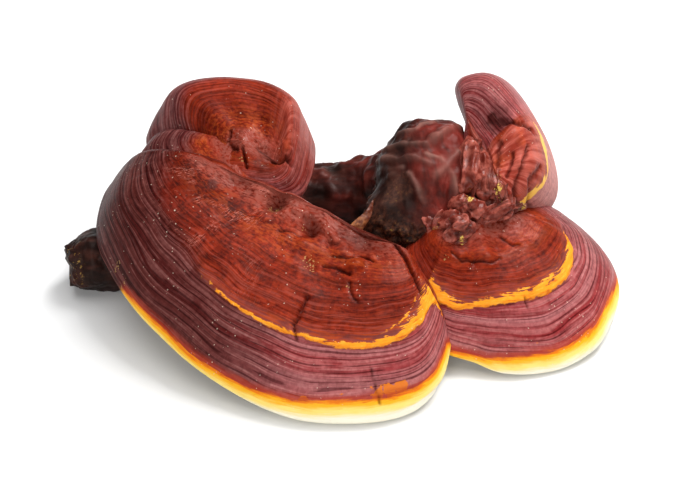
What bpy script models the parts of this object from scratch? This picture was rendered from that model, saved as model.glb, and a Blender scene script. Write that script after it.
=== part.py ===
"""Reishi mushroom, lying as picked: a knobbly stem that ends in a swollen knob, and four domed caps.

The fruiting body grew as one piece and is split where it forks, so the stem and each cap are one solid.
Every length in the tables is in millimetres. X runs to the right, Y away from the viewer and Z up, and
the surface that the mushroom rests on is Z = 0.
"""

from collections import namedtuple

import bmesh
import bpy
import numpy as np
from mathutils import Matrix, Vector

MM = 0.001
CENTRE_SHIFT = (1.2, -6.7)  # moves the finished mushroom, so that its box is centred on the origin
GAP = 0.35  # clearance where one solid is cut back from the next

STEM_SIDES = 20
STEM_RINGS = 24
KNOB_SIDES = 20
FOLD_SIDES = 10
RIM_STEPS = 3  # facets round a cap's rounded margin
UNDERSIDE_SHARES = (0.86, 0.62, 0.32, 0.0)

# Growth zones: each is a shallow roll between two grooves, at shares of the way from hub to margin.
GROOVES = (0.0, 0.26, 0.45, 0.61, 0.74, 0.84, 0.93, 1.0)
ROLL_HEIGHT = 1.4
ROLLS_RISE = (0.1, 0.4)  # the rolls grow to their full height between these shares
SKIN_FACES_OUT = (0.05, 0.5)  # and here the skin's own slope takes over from the cap's axis
HUB_HALF_WIDTH = 2.5
SWELL_FACTOR = 6.75  # makes share squared times (1 - share) reach 1 at its peak
UNDERSIDE_TAPER = 1.5
UNDERSIDE_MEETS_RIM = (0.5, 1.0)

# A cap. rays: how many growth rays it has. hub: the two ends of the line that the rays start from.
# axis: the way its skin faces. margin: rows of (ray angle, x, y, z, swell, droop), where swell lifts
# the skin between hub and margin, and droop says how late the skin bends down to the margin.
# rim, root: thickness at the margin and at the hub.
# lumps: rows of (x, y, radius, height), and a hollow has a height below zero.
Cap = namedtuple("Cap", "rays hub axis margin rim root lumps")

FRONT_CAP = Cap(
    rays=38,
    hub=((-57, 25, 56), (22, -14, 43)),
    axis=(-0.10, -0.30, 0.95),
    margin=(
        (0, -88, 52, 33, 2, 2.2),
        (20, -96, 41, 32, 4, 2.2),
        (36, -99, 28, 31, 6, 2.2),
        (50, -98, 10, 28, 8, 2.2),
        (64, -90, -9, 25, 9, 2.2),
        (78, -77, -27, 20, 8, 2.2),
        (90, -60, -44, 14, 7, 2.2),
        (102, -40, -58, 9, 6, 2.2),
        (115, -18, -67, 6, 5, 2.2),
        (128, 4, -69, 6, 4, 2.2),
        (142, 24, -65, 6, 4, 2.2),
        (156, 36, -55, 8, 3, 2.2),
        (170, 41, -40, 11, 2, 2.2),
        (184, 42, -26, 12, 1, 2),
        (200, 39, -13, 12, 0, 1.4),
        (225, 34, -2, 14, 0, 1.3),
        (250, 20, 4, 20, 0, 1.3),
        (275, 2, 12, 26, 0, 1.4),
        (300, -20, 24, 31, 0, 1.5),
        (330, -52, 44, 33, 1, 1.8),
    ),
    rim=9,
    root=15,
    lumps=(
        (-38, 17, 8, -2.5),
        (-18, 5, 6, -3.0),
        (-10, -12, 7, -2.5),
        (6, -8, 8, 2.0),
        (-28, 22, 9, 3.0),
        (-16, 12, 8, 3.0),
    ),
)

SIDE_LOBE = Cap(
    rays=20,
    hub=((-64, 38, 57), (-46, 24, 57)),
    axis=(-0.25, 0.0, 0.97),
    margin=(
        (0, -85, 57, 34, 7, 2),
        (40, -88, 46, 30, 4, 2),
        (90, -66, 14, 36, 0, 2),
        (180, -28, 10, 44, 0, 1.5),
        (235, -38, 34, 44, 0, 1.5),
        (290, -62, 58, 42, 6, 2),
        (325, -78, 63, 37, 8, 2),
    ),
    rim=7,
    root=14,
    lumps=(),
)

RIGHT_CAP = Cap(
    rays=34,
    hub=((40, -4, 40), (68, 12, 38)),
    axis=(0.10, -0.20, 0.97),
    margin=(
        (0, 18, -14, 24, 0, 1.5),
        (20, 28, -32, 13, 0, 1.6),
        (38, 39, -36, 10, 1, 1.7),
        (56, 50, -37, 8, 2, 1.7),
        (74, 60, -41, 4.8, 3, 1.7),
        (92, 72, -42, 4.3, 3, 1.7),
        (112, 86, -38, 4.5, 3, 1.7),
        (134, 100, -27, 6, 3, 1.7),
        (154, 108, -12, 8, 3, 1.7),
        (174, 111, 4, 10, 3, 1.7),
        (194, 108, 19, 12, 3, 1.7),
        (215, 99, 32, 15, 3, 1.7),
        (240, 85, 41, 19, 3, 1.7),
        (270, 62, 46, 22, 1, 1.7),
        (305, 38, 34, 24, 0, 1.6),
        (335, 20, 10, 26, 0, 1.5),
    ),
    rim=7,
    root=15,
    lumps=((38, -4, 9, 3), (50, 3, 8, 4), (60, 10, 7, 4), (76, 2, 8, 1.5)),
)

BACK_LEFT_CAP = Cap(
    rays=32,
    hub=((-40, 33, 58), (-26, 29, 52)),
    axis=(-0.15, 0.0, 0.98),
    margin=(
        (0, -84, 52, 38, 9, 3),
        (30, -62, 24, 42, 4, 3),
        (90, -34, 16, 44, 0, 3),
        (150, -20, 22, 40, 2, 3),
        (180, -13, 31, 36, 9, 3),
        (210, -11, 45, 40, 14, 3),
        (240, -16, 62, 42, 17, 3),
        (270, -32, 77, 43, 17, 3),
        (300, -56, 83, 42, 16, 3),
        (325, -77, 78, 40, 14, 3),
        (345, -85, 66, 39, 11, 3),
    ),
    rim=8,
    root=14,
    lumps=((-30, 26, 6, -3.0),),
)

BACK_RIGHT_CAP = Cap(
    rays=24,
    hub=((57, 33, 72), (66, 13, 60)),
    axis=(-0.1, -0.55, 0.82),
    margin=(
        (0, 61, 69, 68, 4, 2),
        (22, 51, 67, 68, 4, 2),
        (42, 45, 60, 61, 3, 2),
        (62, 45, 50, 54, 3, 2),
        (90, 48, 38, 46, 2, 2),
        (130, 58, 22, 36, 0, 2),
        (165, 70, 16, 30, 2, 2),
        (190, 82, 25, 28, 4, 2),
        (215, 88, 34, 32, 5, 2),
        (245, 87, 43, 42, 6, 2),
        (280, 80, 54, 55, 6, 2),
        (320, 71, 63, 64, 6, 2),
    ),
    rim=8,
    root=13,
    lumps=(),
)

# The stalk's centre line and radius, from the broken butt to its end in the knob: rows of (x, y, z, radius).
STALK_LINE = (
    (-111, 12, 12, 8),
    (-105, 14, 11.6, 11.5),
    (-96, 17, 11.6, 12.8),
    (-78, 25, 11.2, 12.5),
    (-48, 41, 10.8, 12),
    (-20, 57, 11.4, 12.5),
    (0, 62, 12.6, 13.5),
    (16, 60, 16, 14.5),
    (27, 51, 26, 16),
    (33, 41, 36, 14),
)
LUMP_SIZE = 11
LUMP_HEIGHT = 1.1
STEM_SEED = 3
KNOB_SEED = 5

# Whole numbers that scramble a lattice corner into a repeatable value.
CORNER_PRIMES = (73856093, 19349663, 83492791)
SEED_PRIME = 26544357
MIXING_PRIME = 1274126177
LOW_BITS = 0xFFFF

# Rounded growths, each an egg: its two ends, and its radius across them.
KNOB = ((30, 54, 52), (40, 2, 28), 21)
FOLDS = (
    ((34, -7, 42), (46, 1, 43), 5),
    ((44, -2, 44), (58, 6, 44), 7),
    ((52, 2, 44), (58, 24, 52), 7),
    ((60, 8, 42), (70, 22, 44), 6),
)

SKIN_RED = (0.25, 0.03, 0.015, 1)
STEM_BROWN = (0.04, 0.012, 0.008, 1)
LACQUER_ROUGHNESS = 0.32
STEM_ROUGHNESS = 0.4


def unit(vectors):
    """Vectors of length 1."""
    vectors = np.asarray(vectors, float)
    return vectors / np.maximum(np.linalg.norm(vectors, axis=-1, keepdims=True), 1e-9)


def smooth_step(low, high, value):
    """Rises smoothly from 0 at low to 1 at high."""
    share = np.clip((value - low) / (high - low), 0, 1)
    return share * share * (3 - 2 * share)


def along(knots, values, places):
    """A cubic through every knot, whose slope at a knot is that of the chord between its neighbours."""
    slopes = (values[2:] - values[:-2]) / (knots[2:] - knots[:-2])[:, None]
    first = np.clip(np.searchsorted(knots, places, side="right") - 1, 1, len(knots) - 3)
    width = (knots[first + 1] - knots[first])[:, None]
    t = (np.asarray(places) - knots[first])[:, None] / width
    return (
        values[first] * (1 + 2 * t) * (1 - t) ** 2
        + slopes[first - 1] * width * t * (1 - t) ** 2
        + values[first + 1] * t * t * (3 - 2 * t)
        + slopes[first] * width * t * t * (t - 1)
    )


def round_curve(rows, angles):
    """Values at the angles on a closed smooth curve through rows of (angle, value, ...)."""
    rows = np.array(rows, float)
    turn = np.zeros(rows.shape[1])
    turn[0] = 360
    rows = np.concatenate([rows[-1:] - turn, rows, rows[:2] + turn])
    return along(rows[:, 0], rows[:, 1:], angles)


def open_curve(rows, count):
    """count rows at even steps on a smooth curve through the rows given."""
    rows = np.array(rows, float)
    rows = np.concatenate([[2 * rows[0] - rows[1]], rows, [2 * rows[-1] - rows[-2]]])
    knots = np.arange(len(rows), dtype=float)
    return along(knots, rows, np.linspace(1, len(rows) - 2, count))


def lattice_value(corner, seed):
    """A repeatable value from -1 to 1 for each corner of a lattice of whole numbers."""
    mixed = (corner * np.array(CORNER_PRIMES)).sum(-1) + seed * SEED_PRIME
    mixed = (mixed ^ (mixed >> 13)) * MIXING_PRIME
    return ((mixed ^ (mixed >> 16)) & LOW_BITS) / LOW_BITS * 2 - 1


def lumpy(points, size, seed):
    """Smooth lumps from -1 to 1, about one every size millimetres: lattice values eased into each other."""
    scaled = points / size
    base = np.floor(scaled).astype(np.int64)
    ease = smooth_step(0, 1, scaled - base)
    total = np.zeros(points.shape[:-1])
    for dx in (0, 1):
        for dy in (0, 1):
            for dz in (0, 1):
                step = np.array([dx, dy, dz])
                weight = np.where(step, ease, 1 - ease).prod(-1)
                total += weight * lattice_value(base + step, seed)
    return total


def cap_skin(cap, angles, shares):
    """The cap's upper skin, a row of points for each share and a column for each ray.

    A ray runs straight from hub to margin as seen along the axis. Its height along the axis goes from the
    hub's to the margin's as the share to the power droop, and swell adds a hump that is flat at the hub.
    """
    start, end = np.array(cap.hub, float)
    axis = unit(cap.axis)
    turn = np.radians(angles)[:, None]
    across = unit(np.cross(end - start, axis))
    hub = start + (end - start) * (1 - np.cos(turn)) / 2 + across * HUB_HALF_WIDTH * np.sin(turn)
    rows = round_curve(cap.margin, angles)
    margin, swell, droop = rows[:, :3], rows[:, 3], rows[:, 4]
    share = np.asarray(shares, float)[:, None]
    flat_way = (margin - hub) - ((margin - hub) @ axis)[:, None] * axis
    height = ((margin - hub) @ axis) * share**droop + swell * SWELL_FACTOR * share**2 * (1 - share)
    skin = hub + flat_way * share[:, :, None] + height[:, :, None] * axis
    for x, y, radius, lift in cap.lumps:
        near = np.exp(-((skin[..., 0] - x) ** 2 + (skin[..., 1] - y) ** 2) / radius**2)
        skin = skin + (near * lift)[..., None] * axis
    return skin


def cap_rings(cap):
    """Closed rings round the cap: out along the skin, round the margin, and back along the underside.

    The margin's arc starts square to the skin and ends facing straight down the axis.
    """
    angles = np.arange(cap.rays) * 360 / cap.rays
    crests = [(low + high) / 2 for low, high in zip(GROOVES, GROOVES[1:])]
    shares = np.array(sorted(GROOVES + tuple(crests)))
    axis = unit(cap.axis)
    skin = cap_skin(cap, angles, shares)
    outward = unit(np.gradient(skin, axis=0))
    round_way = np.roll(skin, -1, axis=1) - np.roll(skin, 1, axis=1)
    steady = smooth_step(*SKIN_FACES_OUT, shares)[:, None, None]
    normals = unit(unit(np.cross(outward, round_way)) * steady + axis * (1 - steady))
    rolls = np.where(np.isin(shares, crests), ROLL_HEIGHT, 0) * smooth_step(*ROLLS_RISE, shares)
    top = skin + normals * rolls[:, None, None]

    radius = cap.rim / 2
    lean = np.arccos(np.clip(normals[-1] @ axis, -1, 1))[:, None]
    level = unit(outward[-1] - (outward[-1] @ axis)[:, None] * axis)
    centre = skin[-1] - normals[-1] * radius
    turns = [lean + (np.pi - lean) * step / RIM_STEPS for step in range(1, RIM_STEPS + 1)]
    edge = [centre + radius * (level * np.sin(turn) + axis * np.cos(turn)) for turn in turns]

    under_skin = cap_skin(cap, angles, UNDERSIDE_SHARES)
    share = np.array(UNDERSIDE_SHARES)[:, None, None]
    depth = cap.rim + (cap.root - cap.rim) * (1 - share) ** UNDERSIDE_TAPER
    near_rim = smooth_step(*UNDERSIDE_MEETS_RIM, share)
    under = under_skin + (edge[-1] - skin[-1]) * near_rim - axis * depth * (1 - near_rim)
    return np.concatenate([top, edge, under])


def stalk_rings():
    """Rings of the stalk: circles square to its line, with knobbly lumps."""
    rows = open_curve(STALK_LINE, STEM_RINGS)
    line, radius = rows[:, :3], rows[:, 3]
    ahead = unit(np.gradient(line, axis=0))
    side = unit(np.cross(ahead, (0, 0, 1)))
    upward = np.cross(side, ahead)
    turns = np.arange(STEM_SIDES) * 2 * np.pi / STEM_SIDES
    spoke = side[:, None] * np.cos(turns)[:, None] + upward[:, None] * np.sin(turns)[:, None]
    rings = line[:, None] + spoke * radius[:, None, None]
    lift = LUMP_HEIGHT * lumpy(rings, LUMP_SIZE, STEM_SEED)
    return rings + spoke * lift[..., None]


def egg(name, start, end, radius, sides, lump_height):
    """A solid egg between two points, with smooth lumps."""
    start, end = Vector(start), Vector(end)
    turn = (end - start).to_track_quat("Z", "Y").to_matrix().to_4x4()
    size = Matrix.Diagonal((radius, radius, (end - start).length / 2, 1))
    shape = bmesh.new()
    bmesh.ops.create_uvsphere(shape, u_segments=sides, v_segments=sides // 2, radius=1)
    shape.transform(Matrix.Translation((start + end) / 2) @ turn @ size)
    shape.normal_update()
    points = np.array([vert.co for vert in shape.verts])
    lift = lump_height * lumpy(points, LUMP_SIZE, KNOB_SEED)
    for vert, height in zip(shape.verts, lift):
        vert.co = (vert.co + vert.normal * height) * MM
    return object_from(shape, name)


def object_from(shape, name):
    """An object with the shape given, shaded smooth."""
    for face in shape.faces:
        face.smooth = True
    mesh = bpy.data.meshes.new(name)
    shape.to_mesh(mesh)
    shape.free()
    return bpy.data.objects.new(name, mesh)


def closed_loft(name, rings, slit_ends):
    """A closed mesh over rings of equal count. A slit end is zipped side to side, and another is a fan."""
    rings = np.array(rings)
    rings[..., 2] = np.maximum(rings[..., 2], 0)
    count = rings.shape[1]
    shape = bmesh.new()
    rows = [[shape.verts.new(point * MM) for point in ring] for ring in rings]
    for inner, outer in zip(rows, rows[1:]):
        for i in range(count):
            j = (i + 1) % count
            shape.faces.new((inner[i], outer[i], outer[j], inner[j]))
    half = count // 2
    for row in (rows[0], rows[-1]):
        if slit_ends:
            shape.faces.new((row[0], row[1], row[-1]))
            shape.faces.new((row[half - 1], row[half], row[half + 1]))
            for i in range(1, half - 1):
                shape.faces.new((row[i], row[i + 1], row[-i - 1], row[-i]))
        else:
            middle = shape.verts.new(sum((vert.co for vert in row), row[0].co * 0) / count)
            for i in range(count):
                shape.faces.new((row[i], row[(i + 1) % count], middle))
    bmesh.ops.recalc_face_normals(shape, faces=shape.faces)
    return object_from(shape, name)


def new_collection(name):
    """A collection in the scene."""
    made = bpy.data.collections.new(name)
    bpy.context.scene.collection.children.link(made)
    return made


def lacquer(name, colour, roughness):
    """A glossy material of one colour."""
    material = bpy.data.materials.new(name)
    material.use_nodes = True
    shader = material.node_tree.nodes["Principled BSDF"]
    shader.inputs["Base Color"].default_value = colour
    shader.inputs["Roughness"].default_value = roughness
    return material


def grown_copy(obj):
    """A copy of the object that is larger by the gap all round, to cut with."""
    cutter = bpy.data.objects.new(obj.name + "_cutter", obj.data.copy())
    swell = cutter.modifiers.new("gap", "DISPLACE")
    swell.strength = GAP * MM
    swell.mid_level = 0
    return cutter


def combine(obj, operation, other):
    """Joins the other solid to the object, or cuts it away."""
    step = obj.modifiers.new(other.name, "BOOLEAN")
    step.solver = "EXACT"
    step.operation = operation
    step.object = other


def keep_largest(obj):
    """Applies the object's modifiers and keeps only the largest of the pieces that they leave."""
    evaluated = obj.evaluated_get(bpy.context.evaluated_depsgraph_get())
    shape = bmesh.new()
    shape.from_mesh(evaluated.to_mesh())
    left = set(shape.verts)
    islands = []
    while left:
        edge = [left.pop()]
        island = list(edge)
        while edge:
            near = {link.other_vert(vert) for vert in edge for link in vert.link_edges} & left
            left -= near
            edge = list(near)
            island += edge
        islands.append(island)
    islands.sort(key=len)
    for island in islands[:-1]:
        bmesh.ops.delete(shape, geom=island, context="VERTS")
    obj.modifiers.clear()
    shape.to_mesh(obj.data)
    shape.free()


def helper_solids():
    """The growths that are joined to a larger piece: the knob, the side lobe and the folds."""
    knob = egg("knob", *KNOB, sides=KNOB_SIDES, lump_height=LUMP_HEIGHT)
    lobe = closed_loft("side_lobe", cap_rings(SIDE_LOBE), slit_ends=True)
    folds = [egg("fold", *fold, sides=FOLD_SIDES, lump_height=0) for fold in FOLDS]
    return knob, lobe, folds


def lacquer_all(stem, knob, caps):
    """Gives the stem and the knob one material, and each other piece its own."""
    brown = lacquer("stem_brown", STEM_BROWN, STEM_ROUGHNESS)
    stem.data.materials.append(brown)
    knob.data.materials.append(brown)
    for cap in caps:
        cap.data.materials.append(lacquer(cap.name + "_red", SKIN_RED, LACQUER_ROUGHNESS))


def main():
    for old in list(bpy.data.objects):
        bpy.data.objects.remove(old)
    pieces = new_collection("reishi_mushroom")
    helpers = new_collection("helpers")

    stem = closed_loft("stem", stalk_rings(), slit_ends=False)
    front = closed_loft("front_cap", cap_rings(FRONT_CAP), slit_ends=True)
    right = closed_loft("right_cap", cap_rings(RIGHT_CAP), slit_ends=True)
    back_left = closed_loft("back_left_cap", cap_rings(BACK_LEFT_CAP), slit_ends=True)
    back_right = closed_loft("back_right_cap", cap_rings(BACK_RIGHT_CAP), slit_ends=True)
    knob, lobe, folds = helper_solids()
    lacquer_all(stem, knob, (front, lobe, right, back_left, back_right, *folds))
    for piece in (stem, front, right, back_left, back_right):
        pieces.objects.link(piece)
    cutter_of = {piece: grown_copy(piece) for piece in (stem, knob, front, lobe, right)}
    for helper in (knob, lobe, *folds, *cutter_of.values()):
        helpers.objects.link(helper)

    combine(stem, "UNION", knob)
    combine(front, "UNION", lobe)
    for fold in folds:
        combine(back_right, "UNION", fold)
    for cap, keeps_clear_of in (
        (front, (stem, knob)),
        (right, (stem, knob, front)),
        (back_left, (stem, front, lobe)),
        (back_right, (stem, knob, right)),
    ):
        for other in keeps_clear_of:
            combine(cap, "DIFFERENCE", cutter_of[other])
    for piece in pieces.objects:
        keep_largest(piece)
        piece.location = (CENTRE_SHIFT[0] * MM, CENTRE_SHIFT[1] * MM, 0)
    for helper in list(helpers.objects):
        bpy.data.objects.remove(helper)
    bpy.data.collections.remove(helpers)


main()
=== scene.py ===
"""Reishi mushroom: the finish of its stem, its knob, its four caps and the crumpled growth between them.

Every length in the tables is in millimetres: X to the right, Y away from the viewer, Z up, and the
surface that the mushroom lies on at Z = 0. CENTRE_SHIFT takes a place in the tables to the model's frame.
"""

import math
from collections import namedtuple
from functools import partialmethod

import bpy
import numpy as np
from bpy.props import FloatProperty, FloatVectorProperty, PointerProperty
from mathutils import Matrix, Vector


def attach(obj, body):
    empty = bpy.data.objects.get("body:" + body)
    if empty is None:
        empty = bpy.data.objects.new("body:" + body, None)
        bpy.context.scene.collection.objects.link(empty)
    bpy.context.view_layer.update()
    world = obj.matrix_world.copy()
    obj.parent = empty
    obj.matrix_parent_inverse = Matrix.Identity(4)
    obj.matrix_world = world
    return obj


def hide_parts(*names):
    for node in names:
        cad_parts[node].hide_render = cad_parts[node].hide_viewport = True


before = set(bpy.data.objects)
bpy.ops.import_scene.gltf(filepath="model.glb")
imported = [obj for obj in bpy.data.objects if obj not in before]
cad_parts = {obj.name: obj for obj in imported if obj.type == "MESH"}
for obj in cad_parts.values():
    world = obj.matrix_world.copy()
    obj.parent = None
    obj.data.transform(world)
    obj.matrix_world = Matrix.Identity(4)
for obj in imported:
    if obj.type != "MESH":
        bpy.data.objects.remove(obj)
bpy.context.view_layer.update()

bl_info = {
    "name": "Reishi Mushroom",
    "version": (1, 0, 0),
    "blender": (4, 5, 0),
    "location": "View3D > Sidebar > Reishi",
    "description": "Dresses a lacquered reishi mushroom: stem, knob, ringed caps and crumpled growth",
    "category": "Add Mesh",
}

MM = 0.001
CENTRE_SHIFT = (1.2, -6.7, 0)

# How fine the pieces are: rings from end to end, and sides round them.
RIM_RINGS = 14
UNDER_RINGS = 24
STALK_RINGS, STALK_SIDES = 240, 140
KNOB_RINGS, KNOB_SIDES = 200, 260
FOLD_RINGS, FOLD_SIDES = 110, 110
SLIVER_RINGS, SLIVER_SIDES = 60, 40

HUB_HALF_WIDTH = 0.6
HUMP_SCALE = 27 / 4  # share**2 * (1 - share) times this rises to 1
LATTICE_RING = 0.8  # the share of the way out where a cap's rays stand evenly
RING_SPACING = 1.7  # from one fine growth ring to the next, in the millimetres of ring_span
# How the growth rings stray: rows of (millimetres, size of the lumps, what their seed adds to the cap's, and
# how the place is stretched for them).
RING_BENDS = (
    (1.3, 20, 7, (1, 1, 1)), (0.5, 6, 11, (0.3, 0.3, 1)), (0.8, 5, 12, (0, 0, 1)), (0.25, 2, 13, (0, 0, 1)),
)
NOISE_GAIN = 1.8  # brings lumps of noise up to about 1
SPECULAR_TINT = (1, 0.84, 0.76, 1)
CAP_SPECK_CELL = 1.9  # from one speck to the next, in millimetres
STEM_SPECK_CELL = 5

# A cap. rays, rings: how fine its skin is. hub: the two ends of the line that its growth rays start from.
# axis: the way its skin faces. margin: rows of (ray angle, x, y, z, swell, droop), where swell lifts the
# skin between hub and margin, and droop says how late the skin bends down to the margin.
# rim: rows of (ray angle, thickness at the margin). root: thickness at the hub. ring_span: hub to margin, in
# millimetres of growth.
# zones: rows of (ray angle, share of the way to the old margin, how orange that margin still is and how
# wide in millimetres, how pale the rim is, how much painted shade darkens the side away from the light
# (partly a darker tone of its own), where below 0 is painted light on the lit side with the skin's own
# rosier tone, how the inner skin glows, and how strong the radial wrinkles are).
# ledge: how strong the step at the old margin is.
# lumps: rows of (x, y, radius, height), and a hollow has a height below zero.
# creases: (half width, depth, points), each a line of (x, y) along which the skin is split.
# grits, flushes: rows of (x, y, radius), patches of yellow and grey grains, and of orange above the rim.
Cap = namedtuple(
    "Cap", "rays rings hub axis margin rim root ring_span zones ledge lumps creases grits flushes seed"
)

ZONE_NAMES = ("old_share", "orange", "band_width", "pale", "dusk", "ember", "wrinkles")

FRONT_CAP = Cap(
    rays=420,
    rings=180,
    hub=((-57, 25, 56), (22, -14, 43)),
    axis=(-0.1, -0.3, 0.95),
    margin=(
        (0, -88, 52, 33, 2, 2.2), (20, -96, 41, 32, 4, 2.2), (36, -99, 28, 31, 6, 2.2),
        (50, -98, 10, 28, 8, 2.2), (64, -90, -9, 25, 9, 2.2), (78, -77, -27, 20, 8, 2.2),
        (90, -60, -44, 14, 7, 2.2), (102, -40, -58, 9, 6, 2.2), (115, -18, -67, 6, 5, 2.2),
        (128, 4, -69, 6, 4, 2.2), (142, 24, -65, 6, 4, 2.2), (156, 36, -55, 8, 3, 2.2),
        (170, 41, -40, 11, 2, 2.2), (184, 42, -26, 12, 1, 2), (200, 39, -13, 12, 0, 1.4),
        (225, 34, -2, 14, 0, 1.3), (250, 20, 4, 20, 0, 1.3), (275, 2, 12, 26, 0, 1.4),
        (300, -20, 24, 31, 0, 1.5), (330, -52, 44, 33, 1, 1.8),
    ),
    rim=((0, 9), (70, 8.5), (86, 6), (100, 6), (116, 8), (130, 9)),
    root=15,
    ring_span=60,
    zones=(
        (0, 0.3, 0, 1, 0, 1, 0.3, 0.5), (36, 0.42, 0, 1, 0, 1, 0.4, 0.9),
        (50, 0.51, 0, 1, 0, 1, 0.9, 0.9), (66, 0.58, 0, 1, 0, 0.95, 0.9, 0.9),
        (72, 0.6, 0, 1, 0.3, 0.95, 0.9, 0.9), (78, 0.62, 0, 1, 0.45, 0.93, 0.9, 0.9),
        (86, 0.68, 0.35, 0.9, 0.5, 0.91, 0.8, 0.6), (94, 0.69, 0.45, 0.9, 0.5, 0.88, 0.8, 0.6),
        (104, 0.7, 0.95, 1.3, 0.62, 0.6, 0.8, 0.5), (114, 0.69, 1, 1.2, 0.85, 0.05, 0.8, 0.5),
        (124, 0.71, 1, 1.5, 1, 0, 0.7, 0.5), (134, 0.71, 1, 2.4, 1, 0, 0.7, 0.3),
        (145, 0.69, 1.3, 3.4, 1, 0, 0.6, 0.3), (153, 0.66, 1.3, 4, 1, 0, 0.4, 0.3),
        (162, 0.65, 1, 6, 1, 0, 0.4, 0.3), (170, 0.66, 1, 7, 0.8, 0, 0.4, 0.3),
        (175, 0.7, 1, 7, 0.3, 0.1, 0.4, 0.3), (178, 0.95, 0, 3, 0, 0.2, 0.4, 0.3),
        (200, 0.95, 0, 1, 0, 0.3, 0.4, 0.3), (230, 0.6, 0, 1, 0, 0.6, 0.2, 0.3),
        (330, 0.4, 0, 1, 0, 1, 0.5, 0.3),
    ),
    ledge=1,
    lumps=(
        (-38, 17, 8, -2), (-28, 22, 9, 3), (-16, 12, 7, 3), (9, -9, 9, -3.5), (-26, 5, 4.2, -5.4),
        (-21, -1, 4, 1.2), (-12, -7.5, 4, -4.6), (-8, -1, 4, 1.5), (-12, -23, 3.5, -1.6),
        (5, -25, 2.4, 2), (14, -32, 9, 1.6), (-4, -33, 6, -1), (0, -18, 3, 1.5), (6, -24, 2.4, 1.3),
        (-5, -14, 2.4, -1.2), (-15, -14, 2.8, 1.1), (-21, -12, 2.8, 0.9), (11, -20, 2.8, 1.1),
        (-30, -2, 2.6, 0.9),
    ),
    creases=(
        (0.5, 2.4, ((-13, -37), (-15, -41), (-16, -44), (-18, -46), (-17, -50))),
        (0.5, 0.9, ((3, -31), (3, -34), (4, -37), (6, -39))),
        (0.4, 0.7, ((11, -59), (12, -62), (14, -66))),
        (0.7, 1.8, ((20, -13), (24, -21), (27, -28), (30, -33))),
        (1.6, -1.4, ((-18, 0), (-12, -2), (-7, -6), (-3, -11), (1, -15))),
        (0.6, 1, ((-7, -24), (-2, -25), (3, -28))),
        (0.4, 0.8, ((-4, -20), (2, -21), (7, -20), (12, -23))),
        (0.4, 0.6, ((-24, -9), (-19, -9), (-16, -11))),
    ),
    grits=((-26, 4, 4), (-15, -6, 1.2), (-12, -23, 4), (2, -33, 1), (-88, -9, 1.5), (-85, -15, 1.2)),
    flushes=((13, -65, 3.6), (18, -64, 3.6), (22, -62, 3.2), (-14, -66, 2.2)),
    seed=10,
)

SIDE_LOBE = Cap(
    rays=220,
    rings=90,
    hub=((-46, 38, 56), (-41, 20, 51.5)),
    axis=(-0.25, 0, 0.97),
    margin=(
        (0, -85, 57, 35, 7, 2), (40, -88, 46, 31, 4, 2), (90, -66, 14, 36, 0, 2),
        (180, -28, 10, 44, 0, 1.5), (235, -38, 34, 44, 0, 1.5), (290, -58, 67, 42, 4, 2),
        (308, -69, 71, 40, 4, 2), (325, -80, 67, 37, 5, 2),
    ),
    rim=((0, 7),),
    root=14,
    ring_span=38,
    zones=(
        (0, 0.3, 0, 1, 0, 0.8, 1, 0.3), (90, 0.5, 0, 1, 0, 0.8, 1, 0.3),
        (180, 0.7, 0, 1, 0, 0.6, 1, 0.3), (250, 0.4, 0, 1, 0, 0.7, 0.8, 0.3),
        (290, 0.3, 0, 1, 0, 0.8, 0.8, 0.3),
    ),
    ledge=0,
    lumps=((-60, 36, 9, 1.5),),
    creases=(),
    grits=((-60, 28, 1.5),),
    flushes=(),
    seed=30,
)

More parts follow.
